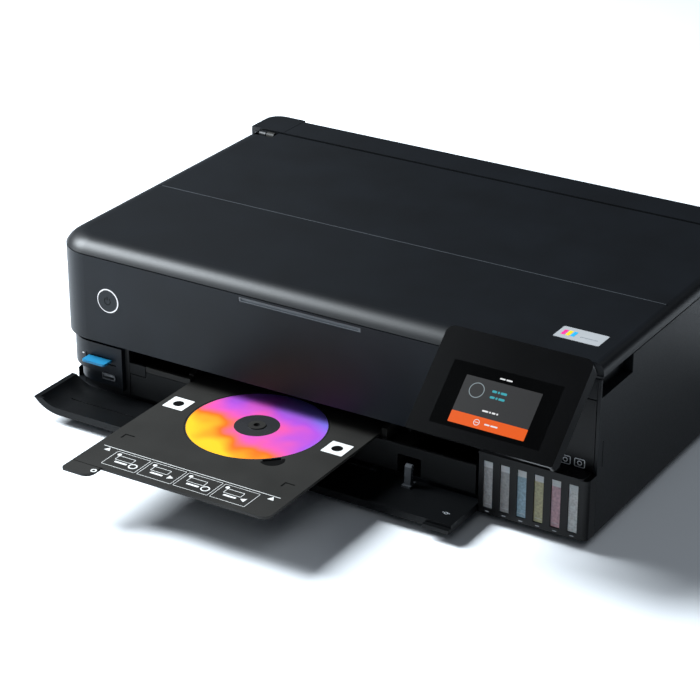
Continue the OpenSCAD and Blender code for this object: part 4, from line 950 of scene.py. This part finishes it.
@dataclass
class LidGrooveHighlight:
    """A narrow pale strip of painted highlight in the styling groove across the lid."""

    y: float
    top: float
    ends: tuple[float, float] = (-0.2436, 0.2542)
    width: float = 0.00084
    groove_depth: float = 0.0007
    height: float = 0.00064

    def build(self) -> None:
        """Makes the strip of painted highlight on the floor of the groove."""
        left, right = self.ends
        highlight_strip = Bench.plate((left + right) / 2, self.y, right - left, self.width,
                           thickness=self.height)
        Bench.finish("lid_groove_painted_highlight", [highlight_strip], GROOVE_HIGHLIGHT_GREY, "trim_grey", "document_cover",
                     lying_at(self.top - self.groove_depth))


@dataclass
class CoverSign:
    """The small lock sign inside the front cover."""

    x: float
    y: float
    top: float
    ring_r: tuple[float, float] = (0.0018, 0.0011)
    dot_r: float = 0.0006
    dot_x: tuple[float, float] = (-0.0028, 0.0028)
    dot_y: float = 0.0004

    def build(self) -> None:
        """Makes the sign as a pale ring and two dots."""
        sign = [Bench.ring(self.x, self.y, *self.ring_r, 32)]
        sign += [Bench.ring(self.x + step, self.y + self.dot_y, self.dot_r, sides=24)
                 for step in self.dot_x]
        Bench.finish("cover_sign", sign, INK_GREY, "casing_black", "front_cover",
                     lying_at(self.top))


@dataclass
class OutletCheek:
    """The fixed cheek at the left of the outlet: a strip and the block in the cassette's notch."""

    face: float
    depth: float = 0.003
    edge: float = 0.0003
    strip: Rect = (-0.1889, 0.0409, 0.0046, 0.0470)
    block: Rect = (-0.1781, 0.04335, 0.0170, 0.0103)

    def build(self) -> None:
        """Makes both plates in the plane of the cassette's face."""
        plates = [Bench.plate(*sizes, self.edge, self.depth, self.edge)
                  for sizes in (self.strip, self.block)]
        Bench.finish("outlet_cheek", plates, CASSETTE_BLACK, "tray_grey", "chassis",
                     facing_front(self.face + self.depth))


@dataclass
class RearSockets:
    """The data sockets in the rear cover: a square one and a wider network one."""

    back: float
    depth: float = 0.011
    sockets: tuple[Rect, ...] = ((-0.150, 0.0655, 0.0138, 0.0108),
                                 (-0.128, 0.0665, 0.0158, 0.0128))
    shell_corner: float = 0.0006
    shell_wall: float = 0.0008
    floor_inset: float = 0.0004
    floor_t: float = 0.0010
    tongue: tuple[float, float, float] = (0.5, 0.42, 0.75)
    tongue_corner: float = 0.0005
    tongue_edge: float = 0.0004

    def build(self) -> None:
        """Makes the plated shells with their floors, and the moulded tongues inside them."""
        turn = Matrix.Rotation(-math.pi / 2, 4, "X")
        place = Matrix.Translation((0, self.back - self.depth, 0)) @ turn
        wide, high, deep = self.tongue
        shells, tongues = [], []
        for x, z, w, h in self.sockets:
            shells.append(Bench.plate(x, -z, w, h, self.shell_corner, self.depth,
                                      rim=self.shell_wall))
            shells.append(Bench.plate(x, -z, w - self.floor_inset, h - self.floor_inset,
                                      self.floor_inset, self.floor_t))
            tongues.append(Bench.plate(x, -z, w * wide, h * high, self.tongue_corner,
                                       self.depth * deep, self.tongue_edge))
        Bench.finish("rear_socket_shells", shells, FINISHES["plated_steel"], "plated_steel",
                     "chassis", place)
        Bench.finish("rear_socket_tongues", tongues, FINISHES["inlet_black"], "inlet_black",
                     "chassis", place)


@dataclass(frozen=True)
class Softbox:
    """One studio light: where it stands, what it faces, its face's size and its watts."""

    name: str
    place: Point
    aim: Point
    width: float
    height: float
    power: float
    colour: Point = (0.88, 0.95, 1.0)

    def build(self) -> None:
        """Adds the light to the scene."""
        data = bpy.data.lights.new(self.name, "AREA")
        data.shape = "RECTANGLE"
        data.size = self.width
        data.size_y = self.height
        data.energy = self.power
        data.color = self.colour
        light = bpy.data.objects.new(self.name, data)
        light.location = self.place
        facing = Vector(self.aim) - Vector(self.place)
        light.rotation_euler = facing.to_track_quat("-Z", "Y").to_euler()
        bpy.context.scene.collection.objects.link(light)


@dataclass
class Studio:
    """Camera at the photograph's view, a pale floor and soft studio lights."""

    eye: Point = (0.96174, -1.58457, 0.95112)
    azimuth: float = 31.64
    elevation: float = 25.37
    lens: float = 123.48
    sensor: float = 36.0
    far: float = 50.0
    floor_size: float = 16.0
    floor_z: float = -0.0005
    air: str = "#cfdcf0"
    air_strength: float = 0.08
    lights: tuple[Softbox, ...] = (
        Softbox("edge_softbox", (-1.68, -0.42, 1.66), (-0.1, -0.09, 0.15), 1.0, 1.2, 158.0),
        Softbox("overhead_soft", (1.8, 1.6, 3.2), (0.3, 0.0, 0.0), 2.0, 2.0, 20.0),
        Softbox("front_fill", (0.9, -3.2, 3.0), (0.0, -0.1, 0.08), 2.4, 1.6, 16.0),
        Softbox("lid_sheen", (-1.9, 1.9, 1.35), (-0.1, 0.1, 0.16), 1.2, 0.9, 0.8))

    def build(self) -> None:
        """Makes the camera, the floor, the lights and the air."""
        self.build_camera()
        Bench.clear()
        bpy.ops.mesh.primitive_plane_add(size=self.floor_size, location=(0, 0, self.floor_z))
        floor = bpy.context.active_object
        floor.name = "studio_floor"
        floor.data.materials.append(Bench.material(BACKDROP))
        for light in self.lights:
            light.build()
        scene = bpy.context.scene
        scene.view_settings.view_transform = "Standard"
        scene.world = bpy.data.worlds.new("studio_air")
        scene.world.use_nodes = True
        background = scene.world.node_tree.nodes["Background"]
        background.inputs["Color"].default_value = linear(self.air)
        background.inputs["Strength"].default_value = self.air_strength

    def build_camera(self) -> None:
        """Makes the camera with the lens and place that were solved for the view."""
        data = bpy.data.cameras.new("photo_camera")
        data.lens = self.lens
        data.sensor_width = self.sensor
        data.sensor_fit = "HORIZONTAL"
        data.clip_end = self.far
        camera = bpy.data.objects.new("photo_camera", data)
        camera.location = self.eye
        camera.rotation_euler = (math.radians(90 - self.elevation), 0, math.radians(self.azimuth))
        bpy.context.scene.collection.objects.link(camera)
        bpy.context.scene.camera = camera


# First tank window's middle and the step to the next
TANK_X, TANK_PITCH = 0.1732, 0.0151
# Radii of the disc's bare hub, its print and its edge
DISC_RADII = (0.019, 0.0588, 0.06)
# Middle of the power button, and of the lock sign inside the front cover
POWER_X, POWER_Z = -0.2007, 0.1067
LOCK_X, LOCK_OUT, LOCK_Z = 0.1481, 0.0239, 0.0125
# Depths of the front's faces from the fascia, positive to the rear
SCREEN_IN, BUTTON_IN, MODULE_IN = -0.003, -0.0008, 0.004
TANK_IN, BAY_WALL_IN, CASSETTE_IN, GROOVE_IN = -0.001, 0.0125, 0.008, 0.1425
# Tray's print face below its highest point, and sockets' mouths inside the rear cover
TRAY_RIM, SOCKET_IN = 0.0006, 0.0008


def main() -> None:
    """Builds the studio and every sub-assembly."""
    logging.basicConfig(level=logging.INFO, format="%(message)s")
    joints = {joint["name"]: joint for joint in frame["joints"]}
    panel = joints["control_panel_tilt"]
    tilt = math.radians(-panel["range_deg"][0])
    fascia_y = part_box("front_panel")[0].y
    disc_low, disc_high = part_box("disc")
    disc_mid = (disc_low + disc_high) / 2
    Studio().build()
    Casing(special={
        # A lacquered print on polycarbonate: glossy, with bright waves of colour
        "disc": DiscLacquer("polycarbonate_disc_lacquered", tuple(disc_mid), *DISC_RADII),
        # Clear polypropylene: each ink shows through as a dull, speckled tint
        "ink_tanks": TankResin("polypropylene_tank_clear", TANK_X, TANK_PITCH),
        # Painted shade: the hinge pins are darkened in their notches
        "power_ring": LAMP_WHITE, "lid_hinge_pins": PIN_SHADE_BLACK, "cover_hook": HOOK_RESIN,
        # Painted shade: darker blacks on the front cover, the side covers and the panel bracket
        "front_cover": COVER_SHADE_BLACK, "paper_cassette": CASSETTE_BLACK,
        "tank_housing": TANK_BLACK_AND_SHADE, "tank_cover": TANK_BLACK_AND_SHADE, "panel_bracket": TANK_BLACK_AND_SHADE,
        "side_cover_left": SIDE_SHADE_BLACK, "side_cover_right": SIDE_SHADE_BLACK}).dress()
    lid_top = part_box("document_cover")[1].z
    DisplayArt(Vector(panel["pos_m"]), tilt, fascia_y + SCREEN_IN, lid_top).build()
    # The tray's print includes painted shade in and round the thumb hole
    TrayPrint(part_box("disc_tray")[1].z - TRAY_RIM, fascia_y).build()
    PowerMark(POWER_X, POWER_Z, fascia_y + BUTTON_IN, fascia_y + MODULE_IN).build()
    TankMarks(TANK_X, TANK_PITCH, fascia_y + TANK_IN, fascia_y + BAY_WALL_IN).build()
    badge_low, badge_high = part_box("badge_plate")
    badge_mid = (badge_low + badge_high) / 2
    BadgeBars(badge_mid.x, badge_mid.y, badge_high.z).build()
    # A pale strip of painted highlight in the lid's groove
    LidGrooveHighlight(fascia_y + GROOVE_IN, lid_top).build()
    OutletCheek(fascia_y + CASSETTE_IN).build()
    RearSockets(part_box("rear_cover")[1].y - SOCKET_IN).build()
    CoverSign(LOCK_X, fascia_y - LOCK_OUT, LOCK_Z).build()


if __name__ == "__main__":
    main()
